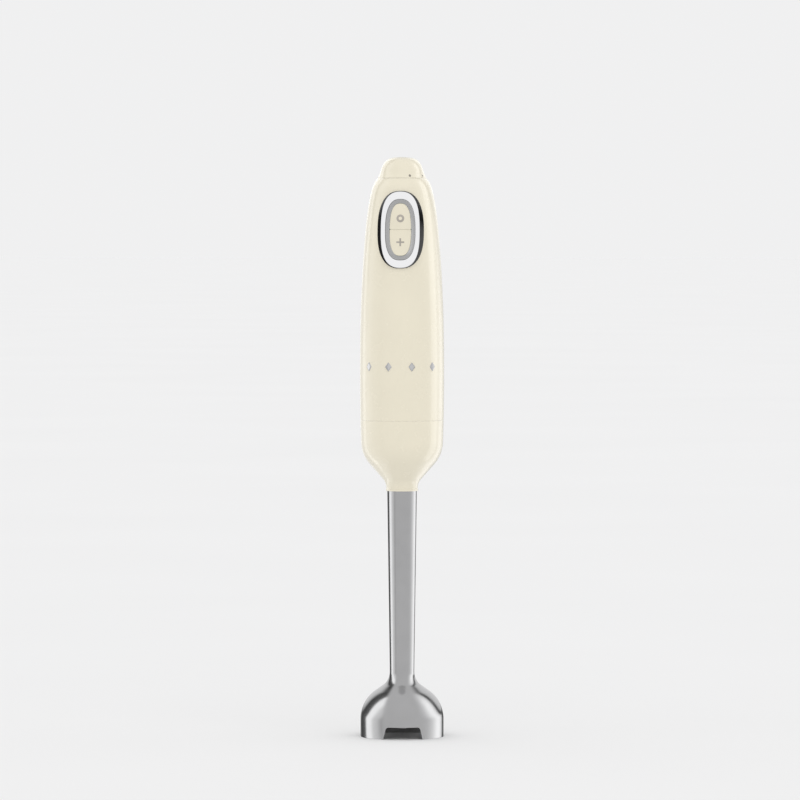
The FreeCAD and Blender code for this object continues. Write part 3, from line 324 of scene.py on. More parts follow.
def from_bmesh(name, bm, smooth=SMOOTH_ANGLE):
    bmesh.ops.remove_doubles(bm, verts=bm.verts, dist=1e-7)
    bmesh.ops.recalc_face_normals(bm, faces=bm.faces)
    mesh = bpy.data.meshes.new(name)
    bm.to_mesh(mesh)
    bm.free()
    return make_object(name, mesh, smooth)


def skin_rings(bm, rings, closed_stack=False):
    """Quads between successive closed rings of points that all have the same count."""
    grid = [[bm.verts.new(p) for p in ring] for ring in rings]
    stack = len(grid) if closed_stack else len(grid) - 1
    for i in range(stack):
        low, high = grid[i], grid[(i + 1) % len(grid)]
        count = len(low)
        for k in range(count):
            n = (k + 1) % count
            bm.faces.new((low[k], low[n], high[n], high[k]))
    return grid


def lathe(name, outline, segments):
    """A closed outline of (radius, height) points turned once round the axis."""
    bm = bmesh.new()
    rings = []
    for k in range(segments):
        angle = 2 * math.pi * k / segments
        rings.append([(r * math.cos(angle), r * math.sin(angle), z) for r, z in outline])
    skin_rings(bm, rings, closed_stack=True)
    bmesh.ops.dissolve_degenerate(bm, edges=bm.edges, dist=1e-7)
    return from_bmesh(name, bm)


def prism(name, outline, y0, y1):
    """A closed outline of (x, z) points pushed along Y."""
    bm = bmesh.new()
    grid = skin_rings(bm, [[(x, y, z) for x, z in outline] for y in (y0, y1)])
    bm.faces.new(grid[0])
    bm.faces.new(grid[1])
    return from_bmesh(name, bm)


def turned_copy(obj, degrees, name):
    copy = obj.copy()
    copy.data = obj.data.copy()
    copy.name = name
    copy.data.transform(Matrix.Rotation(math.radians(degrees), 4, "Z"))
    bpy.context.scene.collection.objects.link(copy)
    return copy


def boolean(obj, others, operation="DIFFERENCE"):
    """Cuts the others from obj, or joins them to it, and removes them."""
    for other in others:
        step = obj.modifiers.new("step", "BOOLEAN")
        step.object = other
        step.operation = operation
        step.solver = "EXACT"
        depsgraph = bpy.context.evaluated_depsgraph_get()
        mesh = bpy.data.meshes.new_from_object(obj.evaluated_get(depsgraph))
        obj.modifiers.clear()
        obj.data = mesh
        mesh.shade_smooth()
        mesh.set_sharp_from_angle(angle=SMOOTH_ANGLE)
        bpy.data.objects.remove(other)
    return obj


def math_node(tree, operation, first, second=0.0):
    """A math node; each operand is a number or another node's output."""
    node = tree.nodes.new("ShaderNodeMath")
    node.operation = operation
    for socket, value in zip(node.inputs, (first, second)):
        if isinstance(value, float):
            socket.default_value = value
        else:
            tree.links.new(value, socket)
    return node.outputs[0]


# ---------------------------------------------------------------- materials


class Look:
    """A node material around one Principled shader."""

    def __init__(self, name):
        self.name = name
        self.material = bpy.data.materials.new(name)
        self.material.use_nodes = True
        self.tree = self.material.node_tree
        self.shader = self.tree.nodes["Principled BSDF"]
        self.place = self.tree.nodes.new("ShaderNodeTexCoord").outputs["Object"]
        self.last_bump = None

    def set(self, **values):
        for socket, value in values.items():
            self.shader.inputs[socket.replace("_", " ")].default_value = value
        return self

    def stretched(self, scale):
        node = self.tree.nodes.new("ShaderNodeMapping")
        node.inputs["Scale"].default_value = scale
        self.tree.links.new(self.place, node.inputs["Vector"])
        return node.outputs["Vector"]

    def noise(self, size, detail=4.0, roughness=0.5, stretch=(1, 1, 1)):
        """Noise whose blobs are about size across, in metres."""
        node = self.tree.nodes.new("ShaderNodeTexNoise")
        node.inputs["Scale"].default_value = 1.0 / size
        node.inputs["Detail"].default_value = detail
        node.inputs["Roughness"].default_value = roughness
        self.tree.links.new(self.stretched(stretch), node.inputs["Vector"])
        return node.outputs["Fac"]

    def cells(self, size):
        """Distance to the edges of cells that are about size across."""
        node = self.tree.nodes.new("ShaderNodeTexVoronoi")
        node.feature = "DISTANCE_TO_EDGE"
        node.inputs["Scale"].default_value = 1.0 / size
        self.tree.links.new(self.place, node.inputs["Vector"])
        return node.outputs["Distance"]

    def layers(self, size):
        """Level bands, each size high."""
        node = self.tree.nodes.new("ShaderNodeTexWave")
        node.wave_type = "BANDS"
        node.bands_direction = "Z"
        node.inputs["Scale"].default_value = 0.05 / size * 2 * math.pi
        self.tree.links.new(self.place, node.inputs["Vector"])
        return node.outputs["Fac"]

    def ranged(self, value, low, high, start=0.3, end=0.7):
        node = self.tree.nodes.new("ShaderNodeMapRange")
        node.inputs["From Min"].default_value = start
        node.inputs["From Max"].default_value = end
        node.inputs["To Min"].default_value = low
        node.inputs["To Max"].default_value = high
        self.tree.links.new(value, node.inputs["Value"])
        return node.outputs["Result"]

    def colour(self, factor, first, second, start=0.35, end=0.65):
        node = self.tree.nodes.new("ShaderNodeMix")
        node.data_type = "RGBA"
        node.inputs["A"].default_value = (*first, 1)
        node.inputs["B"].default_value = (*second, 1)
        self.tree.links.new(self.ranged(factor, 0.0, 1.0, start, end), node.inputs["Factor"])
        return self.drive("Base Color", node.outputs["Result"])

    def roughness(self, factor, low, high, start=0.3, end=0.7):
        return self.drive("Roughness", self.ranged(factor, low, high, start, end))

    def drive(self, socket, value):
        self.tree.links.new(value, self.shader.inputs[socket])
        return self

    def bump(self, height, distance):
        node = self.tree.nodes.new("ShaderNodeBump")
        node.inputs["Strength"].default_value = 1.0
        node.inputs["Distance"].default_value = distance
        self.tree.links.new(height, node.inputs["Height"])
        if self.last_bump is not None:
            self.tree.links.new(self.last_bump, node.inputs["Normal"])
        self.last_bump = node.outputs["Normal"]
        return self.drive("Normal", self.last_bump)


def shade(colour, factor):
    return tuple(c * factor for c in colour)


CREAM = (0.845, 0.788, 0.634)


def cream_plastic(name):
    """Glossy lacquered moulding: faint mottling, a little orange peel, fine handling marks."""
    look = Look(name).set(Specular_IOR_Level=0.5, Coat_Weight=0.55, Coat_Roughness=0.06, Coat_IOR=1.5)
    look.colour(look.noise(28 * MM, 3), shade(CREAM, 0.988), shade(CREAM, 1.012))
    look.roughness(look.noise(9 * MM, 6, 0.6), 0.20, 0.30)
    look.bump(look.noise(2.6 * MM, 2), 0.005 * MM)
    look.bump(look.noise(0.35 * MM, 3, 0.6), 0.0008 * MM)
    return look


def button_plastic(name):
    """The same cream, moulded with a fine satin texture."""
    look = Look(name).set(Specular_IOR_Level=0.4)
    look.colour(look.noise(12 * MM, 3), shade(CREAM, 0.96), shade(CREAM, 0.99))
    look.roughness(look.noise(3 * MM, 5), 0.34, 0.46)
    look.bump(look.noise(0.22 * MM, 2), 0.006 * MM)
    return look


def plain_plastic(name, colour, gloss, grain=0.25 * MM):
    look = Look(name).set(Specular_IOR_Level=0.4)
    look.colour(look.noise(7 * MM, 4), shade(colour, 0.88), shade(colour, 1.08))
    look.roughness(look.noise(2.5 * MM, 5), gloss, gloss + 0.16)
    look.bump(look.noise(grain, 3), 0.012 * MM)
    return look


def bright_metal(name, colour, gloss, spread, streak, grain=0.08 * MM, depth=0.0012 * MM):
    """Polished or turned metal: soft smears in the gloss, fine tool lines stretched along streak."""
    look = Look(name).set(Metallic=1.0)
    look.colour(look.noise(16 * MM, 4), shade(colour, 0.95), shade(colour, 1.0))
    look.roughness(look.noise(6 * MM, 6, 0.6), gloss, gloss + spread)
    look.bump(look.noise(grain, 2, 0.6, streak), depth)
    return look


def rubber(name, colour):
    look = Look(name).set(Specular_IOR_Level=0.25)
    look.colour(look.noise(5 * MM, 5), shade(colour, 0.8), shade(colour, 1.15))
    look.roughness(look.noise(1.5 * MM, 4), 0.6, 0.78)
    look.bump(look.noise(0.3 * MM, 4), 0.02 * MM)
    return look


def wound_copper(name, colour):
    """Bundles of enamelled wire, seen as fine rounded strands, with painted shade in the grooves between
    them.
    """
    look = Look(name).set(Metallic=0.85)
    strands_and_groove_shade = look.layers(0.55 * MM)
    # darker towards the grooves between strands: painted shade; the bump on the same bands is real relief
    look.colour(strands_and_groove_shade, shade(colour, 0.45), colour, 0.1, 0.7)
    look.roughness(look.noise(1.2 * MM, 4), 0.25, 0.42)
    look.bump(strands_and_groove_shade, 0.18 * MM)
    return look


def laminations(name, colour):
    """Stacked steel sheets."""
    look = Look(name).set(Metallic=0.9)
    sheets = look.layers(0.5 * MM)
    look.colour(sheets, shade(colour, 0.4), colour, 0.05, 0.35)
    look.roughness(look.noise(1.0 * MM, 4), 0.35, 0.55)
    look.bump(sheets, 0.06 * MM)
    return look


def circuit_board(name, colour):
    look = Look(name).set(Specular_IOR_Level=0.5)
    look.colour(look.cells(2.4 * MM), shade(colour, 0.65), shade(colour, 1.5), 0.02, 0.09)
    look.roughness(look.noise(3 * MM, 3), 0.28, 0.45)
    look.bump(look.cells(2.4 * MM), 0.03 * MM)
    return look


EVEN = (1, 1, 1)            # grain with no direction
STEEL = (0.60, 0.60, 0.603)
CHROME = (0.93, 0.93, 0.94)
# near-black painted on the bezel's side walls: a painted dark reflection, not a finish of the part
PAINTED_DARK_REFLECTION = (0.006, 0.006, 0.006)
FACING_FRONT = (-0.80, -0.74)        # the normal's Y, from bright chrome to the painted dark reflection on the side walls


def chrome_trim(name):
    """Bright chrome on what faces the front; the side walls get a painted dark reflection, matt black."""
    look = bright_metal(name, CHROME, 0.03, 0.05, EVEN, 0.6 * MM, 0.0006 * MM)
    normal = look.tree.nodes.new("ShaderNodeNewGeometry").outputs["Normal"]
    split = look.tree.nodes.new("ShaderNodeSeparateXYZ")
    look.tree.links.new(normal, split.inputs[0])
    sideways = split.outputs["Y"]
    # by the normal's Y the side walls lose their metal and turn matt black: painted dark reflection
    look.drive("Metallic", look.ranged(sideways, 1.0, 0.0, *FACING_FRONT))
    look.drive("Specular IOR Level", look.ranged(sideways, 0.5, 0.1, *FACING_FRONT))
    return look.colour(sideways, CHROME, PAINTED_DARK_REFLECTION, *FACING_FRONT)


LOOKS = {look.name: look for look in (
    cream_plastic("cream_housing"),
    cream_plastic("cream_sleeve"),
    cream_plastic("cream_dial"),
    button_plastic("cream_button"),
    plain_plastic("inner_plastic", (0.56, 0.53, 0.46), 0.42),
    plain_plastic("black_plastic", (0.022, 0.022, 0.025), 0.45),
    plain_plastic("white_nylon", (0.74, 0.73, 0.68), 0.38),
    plain_plastic("carbon", (0.02, 0.02, 0.02), 0.6, 0.5 * MM),
    plain_plastic("capacitor_yellow", (0.62, 0.42, 0.05), 0.25),
    plain_plastic("icon_grey", (0.44, 0.405, 0.36), 0.4),
    plain_plastic("dark_mark", (0.30, 0.275, 0.235), 0.4),
    chrome_trim("chrome_trim"),
    bright_metal("grey_surround", (0.62, 0.62, 0.62), 0.22, 0.12, EVEN, 0.3 * MM, 0.002 * MM),
    bright_metal("polished_steel", STEEL, 0.11, 0.08, (1, 1, 22), 1.1 * MM, 0.0016 * MM),
    bright_metal("shaft_steel", (0.58, 0.58, 0.59), 0.18, 0.14, (1, 1, 30), 1.2 * MM, 0.003 * MM),
    bright_metal("blade_steel", (0.66, 0.66, 0.67), 0.16, 0.14, (1, 14, 14), 0.5 * MM, 0.004 * MM),
    bright_metal("screw_steel", (0.52, 0.52, 0.53), 0.25, 0.2, EVEN, 0.4 * MM, 0.006 * MM),
    bright_metal("spring_steel", (0.42, 0.42, 0.44), 0.22, 0.15, EVEN, 0.3 * MM, 0.003 * MM),
    bright_metal("galvanised_steel", (0.55, 0.56, 0.57), 0.3, 0.2, EVEN, 1.5 * MM, 0.01 * MM),
    bright_metal("aluminium_fin", (0.72, 0.73, 0.75), 0.3, 0.15, (12, 12, 1), 0.8 * MM, 0.008 * MM),
    bright_metal("brass", (0.72, 0.54, 0.22), 0.22, 0.18, (1, 12, 1), 0.8 * MM, 0.005 * MM),
    bright_metal("bronze", (0.50, 0.33, 0.15), 0.4, 0.2, EVEN, 0.25 * MM, 0.01 * MM),
    bright_metal("commutator_copper", (0.72, 0.36, 0.20), 0.25, 0.2, (1, 1, 30), 1.0 * MM, 0.005 * MM),
    wound_copper("copper", (0.62, 0.25, 0.10)),
    laminations("lamination_steel", (0.34, 0.34, 0.36)),
    rubber("grey_rubber", (0.045, 0.045, 0.048)),
    circuit_board("board", (0.02, 0.13, 0.05)),
)}


def finish_piece(obj, body, slot, *replaced):
    """Gives a new piece its material and its body, and hides the CAD nodes that it stands for."""
    obj.data.materials.clear()
    obj.data.materials.append(LOOKS[slot].material)
    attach(obj, body)
    if replaced:
        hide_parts(*replaced)
    return obj


# ---------------------------------------------------------------- handle


def housing_sweep(steps=96):
    """The way from one side seam to the other: angle, arc added to it, drop of the outside."""
    start = [(0.0, arc + SIDE_SEAM, drop) for arc, drop in SIDE_EDGE]
    middle = [(math.pi * k / steps, 0.0, 0.0) for k in range(1, steps)]
    end = [(math.pi, -arc, drop) for _, arc, drop in reversed(start)]
    return start + middle + end


def housing_half(name, side):
    """One shell of the handle; side is -1 for the front one, 1 for the rear."""
    lip = HOUSING_LIP
    low_r, high_r = HOUSING_PROFILE[0][0], HOUSING_PROFILE[-1][0]
    outer = [(low_r - lip, FOOT_SEAM), (low_r - 0.15 * lip, FOOT_SEAM + 0.3 * lip)]
    outer += [p for p in HOUSING_PROFILE if FOOT_SEAM + lip <= p[1] <= DIAL_SEAM - lip]
    outer += [(high_r - 0.1 * lip, DIAL_SEAM - 0.4 * lip), (high_r - lip, DIAL_SEAM)]
    inner = [(r - HOUSING_WALL, z) for r, z in reversed(HOUSING_PROFILE[::3])]
    rings = []
    for start, arc, drop in housing_sweep():
        ring = []
        for i, (r, z) in enumerate(outer + inner):
            radius = r - drop if i < len(outer) else r
            angle = start + arc / r
            ring.append((side * radius * math.cos(angle), side * radius * math.sin(angle), z))
        rings.append(ring)
    bm = bmesh.new()
    grid = skin_rings(bm, rings)
    bm.faces.new(grid[0])
    bm.faces.new(grid[-1])
    return from_bmesh(name, bm)


def egg_outline(inset, count=120):
    return [egg_point(2 * math.pi * k / count, inset) for k in range(count)]


def circle_points(radius, x, z, count):
    turns = [2 * math.pi * k / count for k in range(count)]
    return [(x + radius * math.cos(turn), z + radius * math.sin(turn)) for turn in turns]


def rod_along_y(name, radius, x, z, y0, y1, count=48):
    return prism(name, circle_points(radius, x, z, count), y0, y1)


front = housing_half("front_shell", -1)
boolean(front, [prism("opening", egg_outline(OPENING_INSET), -CUT_END, -OPENING_FLOOR)])
cream_pieces = [finish_piece(front, "motor_unit", "cream_housing", "housing_front")]

rear = housing_half("rear_shell", 1)
wells = []
for x, z in SCREW_WELLS:
    for side in (-1, 1):
        wells.append(rod_along_y("well", SCREW_WELL_R, side * x, z, SCREW_WELL_FLOOR, CUT_END))
for row in range(AIR_SLOTS):
    low = AIR_SLOT_Z + AIR_SLOT_STEP * row
    high = low + AIR_SLOT_HEIGHT
    ends = [(-AIR_SLOT_HALF_WIDTH, low), (AIR_SLOT_HALF_WIDTH, low)]
    ends += [(AIR_SLOT_HALF_WIDTH, high), (-AIR_SLOT_HALF_WIDTH, high)]
    slot_outline = rounded_path([(x, z, AIR_SLOT_ROUND) for x, z in ends])
    wells.append(prism("air_slot", slot_outline, AIR_SLOT_START, CUT_END))
wells.append(rod_along_y("gland_hole", GLAND_HOLE_R, 0, GLAND_Z, GLAND_HOLE_START, CUT_END, 72))
boolean(rear, wells)
cream_pieces.append(finish_piece(rear, "motor_unit", "cream_housing", "housing_rear"))


def egg_ring(name, section_at, count=240):
    """A closed section of (inset, depth) points, taken round the button field."""
    rings = []
    for k in range(count):
        turn = 2 * math.pi * k / count
        ring = []
        for inset, depth in section_at(turn):
            x, z = egg_point(turn, inset)
            ring.append((x, front_y(z, BEZEL_PROUD) + depth, z))
        rings.append(ring)
    bm = bmesh.new()
    skin_rings(bm, rings, closed_stack=True)
    return from_bmesh(name, bm, RING_SMOOTH_ANGLE)


def bezel_section(turn):
    """A flat-across face, a leaning wall that reaches the round handle, a dropped inside."""
    x, z = egg_point(turn, 0)
    surface = -math.sqrt(housing_radius(z) ** 2 - x ** 2)
    wall = surface - front_y(z, BEZEL_PROUD)
    lean = BEZEL_LEAN_TOP + (BEZEL_LEAN - BEZEL_LEAN_TOP) * (x / EGG_HALF_WIDTH) ** 2
    return rounded_path([
        (0.0, wall - BEZEL_FIT, 0),
        (lean, 0.0, BEZEL_EDGE),
        (BEZEL_BAND, 0.0, BEZEL_INNER_EDGE),
        (BEZEL_BAND, BEZEL_DEPTH, 0),
        (BEZEL_FLANGE[1], wall + BEZEL_FLANGE_SINK, 0),
        (BEZEL_FLANGE[0], wall - BEZEL_FIT, 0),
    ], 7)


def surround_section(turn):
    """A slope from the bezel down to the buttons, the same all round."""
    outside = BEZEL_BAND + SURROUND_GAP
    inside = BUTTON_INSET - BUTTON_GAP
    return rounded_path([
        (outside, SURROUND_TOP, SURROUND_EDGE),
        (inside, SURROUND_SLOPE, SURROUND_EDGE),
        (inside, SURROUND_BOTTOM, 0),
        (outside, SURROUND_BOTTOM, 0),
    ], 5)


bezel_ring = egg_ring("bezel", bezel_section)
finish_piece(bezel_ring, "motor_unit", "chrome_trim", "button_bezel")
finish_piece(egg_ring("surround", surround_section), "motor_unit", "grey_surround", "button_surround")


def inward(outline, distance):
    """The outline moved inwards by distance, each point along its own normal."""
    count = len(outline)
    area = sum(
        outline[i][0] * outline[(i + 1) % count][1] - outline[(i + 1) % count][0] * outline[i][1]
        for i in range(count)
    )
    side = 1 if area > 0 else -1
    moved = []
    for i, (a, b) in enumerate(outline):
        before, after = outline[i - 1], outline[(i + 1) % count]
        along = Vector((after[0] - before[0], after[1] - before[1])).normalized()
        moved.append((a - side * along.y * distance, b + side * along.x * distance))
    return moved


def capped_form(name, outline, layers, place, inner_shares=(0.8, 0.6, 0.4, 0.2)):
    """A closed cap: the outline's layers (inset, depth), then loops closing on its middle."""
    bm = bmesh.new()
    middle = Vector([sum(values) / len(outline) for values in zip(*outline)])
    rings = [[place(a, b, depth) for a, b in inward(outline, inset)] for inset, depth in layers]
    top = inward(outline, layers[-1][0])
    for share in inner_shares:
        loop = [middle + (Vector(p) - middle) * share for p in top]
        rings.append([place(p.x, p.y, layers[-1][1]) for p in loop])
    grid = skin_rings(bm, rings)
    bm.faces.new(grid[0])
    tip = bm.verts.new(place(middle.x, middle.y, layers[-1][1]))
    last = grid[-1]
    for k in range(len(last)):
        bm.faces.new((last[k], last[(k + 1) % len(last)], tip))
    return from_bmesh(name, bm)


BUTTON_LAYERS = (
    (0.0, 4.6 * MM),
    (0.0, 0.30 * MM),
    (0.02 * MM, 0.16 * MM),
    (0.08 * MM, 0.06 * MM),
    (0.20 * MM, 0.0),
    (0.60 * MM, 0.0),
)
BUTTON_CROWN = 0.3 * MM
BUTTON_CLEAR = 1.3 * MM     # of the split, where the side's points stop and the corner starts


def on_button(x, z, depth):
    fall = BUTTON_CROWN * (x / (EGG_HALF_WIDTH - BUTTON_INSET)) ** 2
    return (x, front_y(z, BUTTON_PROUD) + depth + fall, z)


def button(name, upper):
    """Half of the egg above or below the split, with rounded corners at the split."""
    side = 1 if upper else -1
    edge = SPLIT_Z + side * SPLIT_GAP / 2
    steps = 160
    turns = [2 * math.pi * (k + (steps // 2 if upper else 0)) / steps for k in range(steps)]
    arc = [egg_point(turn, BUTTON_INSET) for turn in turns]
    arc = [p for p in arc if side * (p[1] - edge) > BUTTON_CLEAR]
    rise = (EGG_RISE if edge > EGG_Z else EGG_DROP) - BUTTON_INSET
    power = EGG_POWER + EGG_POWER_GAIN * BUTTON_INSET
    share = (abs(edge - EGG_Z) / rise) ** power
    half = (EGG_HALF_WIDTH - BUTTON_INSET) * (1 - share) ** (1 / power)
    last_side = 1 if arc[-1][0] > 0 else -1
    corners = [(a, b, 0) for a, b in arc]
    corners.append((last_side * half, edge, SPLIT_CORNER))
    corners.append((-last_side * half, edge, SPLIT_CORNER))
    return capped_form(name, rounded_path(corners, 6), BUTTON_LAYERS, on_button)


def ring_icon(name, z):
    """A plain ring, laid flush in the button."""
    bm = bmesh.new()
    rings = []
    count = 64
    section = (
        (RING_HOLE_R, INLAY_DEPTH),
        (RING_HOLE_R + INLAY_EDGE, -INLAY_PROUD),
        (RING_R - INLAY_EDGE, -INLAY_PROUD),
        (RING_R, INLAY_DEPTH),
    )
    for k in range(count):
        turn = 2 * math.pi * k / count
        rings.append([on_button(r * math.sin(turn), z + r * math.cos(turn), depth) for r, depth in section])
    skin_rings(bm, rings, closed_stack=True)
    return from_bmesh(name, bm)


def plus_icon(name, z):
    """A plain plus, laid flush in the button."""
    corners = ((PLUS_HALF, PLUS_HALF), (PLUS_REACH, PLUS_HALF), (PLUS_REACH, -PLUS_HALF))
    points = []
    for quarter in range(4):
        spin = Matrix.Rotation(-math.pi / 2 * quarter, 2)
        points += [spin @ Vector(corner) for corner in corners]
    depths = (INLAY_DEPTH, -INLAY_PROUD)
    bm = bmesh.new()
    grid = skin_rings(bm, [[on_button(p.x, p.y + z, depth) for p in points] for depth in depths])
    bm.faces.new(grid[0])
    bm.faces.new(grid[1])
    return from_bmesh(name, bm)


finish_piece(button("upper_button", True), "power_button", "cream_button", "power_button")
finish_piece(button("lower_button", False), "turbo_button", "cream_button", "turbo_button")
finish_piece(ring_icon("ring_mark", POWER_Z), "power_button", "icon_grey", "power_icon")
finish_piece(plus_icon("plus_mark", TURBO_Z), "turbo_button", "icon_grey", "turbo_icon")


PIP_LAYERS = (
    (0.0, 0.6 * MM),
    (0.0, 0.2 * MM),
    (0.08 * MM, 0.07 * MM),
    (0.20 * MM, 0.02 * MM),
    (0.35 * MM, 0.0),
)


def pip(name, degrees):
    """A plain polished lozenge on the round handle, with rounded edges."""
    middle = math.radians(degrees)

    def place(x, z, depth):
        radius = housing_radius(z) + PIP_PROUD - depth
        angle = middle + x / housing_radius(PIP_Z)
        return (radius * math.sin(angle), -radius * math.cos(angle), z)

    outline = rounded_path([
        (PIP_HALF_WIDTH, PIP_Z, PIP_ROUND),
        (0, PIP_Z + PIP_HALF_HEIGHT, PIP_ROUND),
        (-PIP_HALF_WIDTH, PIP_Z, PIP_ROUND),
        (0, PIP_Z - PIP_HALF_HEIGHT, PIP_ROUND),
    ], 5)
    return capped_form(name, outline, PIP_LAYERS, place, (0.5,))


pips = []
for index, degrees in enumerate(PIP_ANGLES):
    replaced = ["badge_pips"] if index == 0 else []
    piece = pip(f"pip_{index + 1}", degrees)
    pips.append(finish_piece(piece, "motor_unit", "polished_steel", *replaced))


def gland():
    """Rubber cord inlet: a flanged sleeve with an open bore."""
    surface = housing_radius(GLAND_Z)
    sunk, proud = (surface + reach for reach in GLAND_FLANGE)
    corners = [
        (GLAND_BORE_R, GLAND_LOW.y, 0),
        (GLAND_R, GLAND_LOW.y, 0),
        (GLAND_R, sunk, 0),
        (GLAND_FLANGE_R, sunk, 0.3 * MM),
        (GLAND_FLANGE_R, proud, 0.5 * MM),
        (GLAND_R, surface + GLAND_SHOULDER, 0.4 * MM),
        (GLAND_END_R, GLAND_HIGH.y, 0.5 * MM),
        (GLAND_BORE_R, GLAND_HIGH.y, 0.5 * MM),
    ]
    obj = lathe("cord_inlet", rounded_path(corners, 5), 96)
    obj.data.transform(Matrix.Translation((0, 0, GLAND_Z)) @ Matrix.Rotation(-math.pi / 2, 4, "X"))
    return obj


finish_piece(gland(), "motor_unit", "grey_rubber", "cord_gland")

# ---------------------------------------------------------------- speed dial


def dial():
    """The turning crown, hollow underneath, with a hub in its middle."""
    base = DIAL_SEAM + SEAM
    lip = DIAL_LIP
    outer = [(DIAL_BASE_R - lip, base), (DIAL_BASE_R - 0.2 * lip, base + 0.25 * lip)]
    outer += [(DIAL_BASE_R, base + lip)] + [p for p in DIAL_PROFILE if p[1] > DIAL_PROFILE[0][1] + lip]
    hollow = [(0.0, base, 0), (DIAL_HUB_R, base, 0), *DIAL_HOLLOW, (DIAL_SKIRT_R, base, 0)]
    return lathe("dial", outer + rounded_path(hollow, 4, closed=False), 200)


cream_pieces.append(finish_piece(dial(), "speed_dial", "cream_dial", "speed_dial"))


def dial_mark(name, degrees, radius):
    """A round dark inlay that follows the dial's flank."""
    radii, heights = zip(*DIAL_PROFILE)
    middle = math.radians(degrees)

    def place(x, height, depth):
        reach = float(np.interp(height, heights, radii)) - depth
        angle = middle + x / reach
        return (reach * math.sin(angle), -reach * math.cos(angle), height)

    layers = ((0, 0.3 * MM), (0, 0.0), (INLAY_EDGE, -INLAY_PROUD))
    return capped_form(name, circle_points(radius, 0, MARK_Z, 32), layers, place, (0.5,))


for index, degrees in enumerate(MARK_ANGLES):
    replaced = ["dial_marks"] if index == 0 else []
    mark = dial_mark(f"speed_mark_{index + 1}", degrees, MARK_R - MARK_STEP * index)
    finish_piece(mark, "speed_dial", "dark_mark", *replaced)

# ---------------------------------------------------------------- foot


def ring_sector(name, radii, heights, middle, width, steps=16):
    """Part of a ring; its middle is an angle in degrees, counted from +X."""
    (inner, outer), (bottom, top) = radii, heights
    bm = bmesh.new()
    rings = []
    for k in range(steps + 1):
        angle = math.radians(middle - width / 2 + width * k / steps)
        corners = ((inner, bottom), (outer, bottom), (outer, top), (inner, top))
        rings.append([(r * math.cos(angle), r * math.sin(angle), z) for r, z in corners])
    grid = skin_rings(bm, rings)
    bm.faces.new(grid[0])
    bm.faces.new(grid[-1])
    return from_bmesh(name, bm)


def sleeve():
    """Cream shoulder and cone, with the bayonet's spigot and lugs on top and a bead below."""
    mouth = SLEEVE_MOUTH_R
    bead = mouth + SLEEVE_BEAD
    bore = TUBE_TOP_R + SLEEVE_BORE_FIT
    top = SLEEVE_TOP
    ledge = top - SLEEVE_LEDGE
    outline = rounded_path([
        (SPIGOT[0], ledge, 0),
        (SPIGOT[0], SPIGOT_TOP, 0.4 * MM),
        (SPIGOT[1], SPIGOT_TOP, 0.5 * MM),
        (SPIGOT[1], top, 0.6 * MM),
        (SLEEVE_TOP_R, top, 0.25 * MM),
        (SLEEVE_SHOULDER_R, SLEEVE_SHOULDER_Z, 24.0 * MM),
        (mouth, SLEEVE_CONE_Z, 9.0 * MM),
        (mouth, SLEEVE_BOTTOM + BEAD_HEIGHT + BEAD_SLOPE, 0.2 * MM),
        (bead, SLEEVE_BOTTOM + BEAD_HEIGHT, 0.25 * MM),
        (bead, SLEEVE_BOTTOM, 0.4 * MM),
        (bore, SLEEVE_BOTTOM, 0.2 * MM),
        (bore, SLEEVE_CONE_Z + 1.1 * MM, 1.0 * MM),
        (SLEEVE_SHOULDER_R - SLEEVE_WALL, SLEEVE_SHOULDER_Z - 0.8 * MM, 20.0 * MM),
        (SLEEVE_TOP_R - SLEEVE_WALL, ledge, 0.5 * MM),
    ], 14)
    obj = lathe("sleeve", outline, 200)
    step = 360.0 / LUGS
    lugs = [ring_sector("lug", LUG_R, LUG_Z, LUG_TURN + step * i, LUG_WIDTH) for i in range(LUGS)]
    boolean(obj, lugs, "UNION")
    keys = [ring_sector("key", KEY_R, KEY_Z, KEY_TURN + step * i, KEY_WIDTH) for i in range(LUGS)]
    return boolean(obj, keys)


cream_pieces.append(finish_piece(sleeve(), "foot", "cream_sleeve", "foot_sleeve"))


def tube():
    """A steel tube that widens upwards as far as the sleeve."""
    outline = [(NECK_R, BELL_TOP + TUBE_JOINT), (TUBE_TOP_R, SLEEVE_BOTTOM), (TUBE_TOP_R, TUBE_TOP)]
    inner = [(r - STEEL_WALL, z) for r, z in outline]
    return lathe("tube", outline + inner[::-1], 160)


finish_piece(tube(), "foot", "polished_steel", "shaft_tube")


def bell_outline(inset):
    """S-curve from the neck down to the rim, with the wall moved in by inset."""
    level = BELL_NECK_Z - inset * math.hypot(1, BELL_SLOPE)
    wall_r = BELL_R - inset
    return rounded_path([
        (NECK_R - inset, BELL_TOP, 0),
        (NECK_R - inset, level + BELL_SLOPE * inset, BELL_NECK_ROUND + inset),
        (wall_r, level - BELL_SLOPE * (wall_r - NECK_R), BELL_SHOULDER_ROUND - inset),
        (wall_r, 0.0, 0),
    ], 24, closed=False)


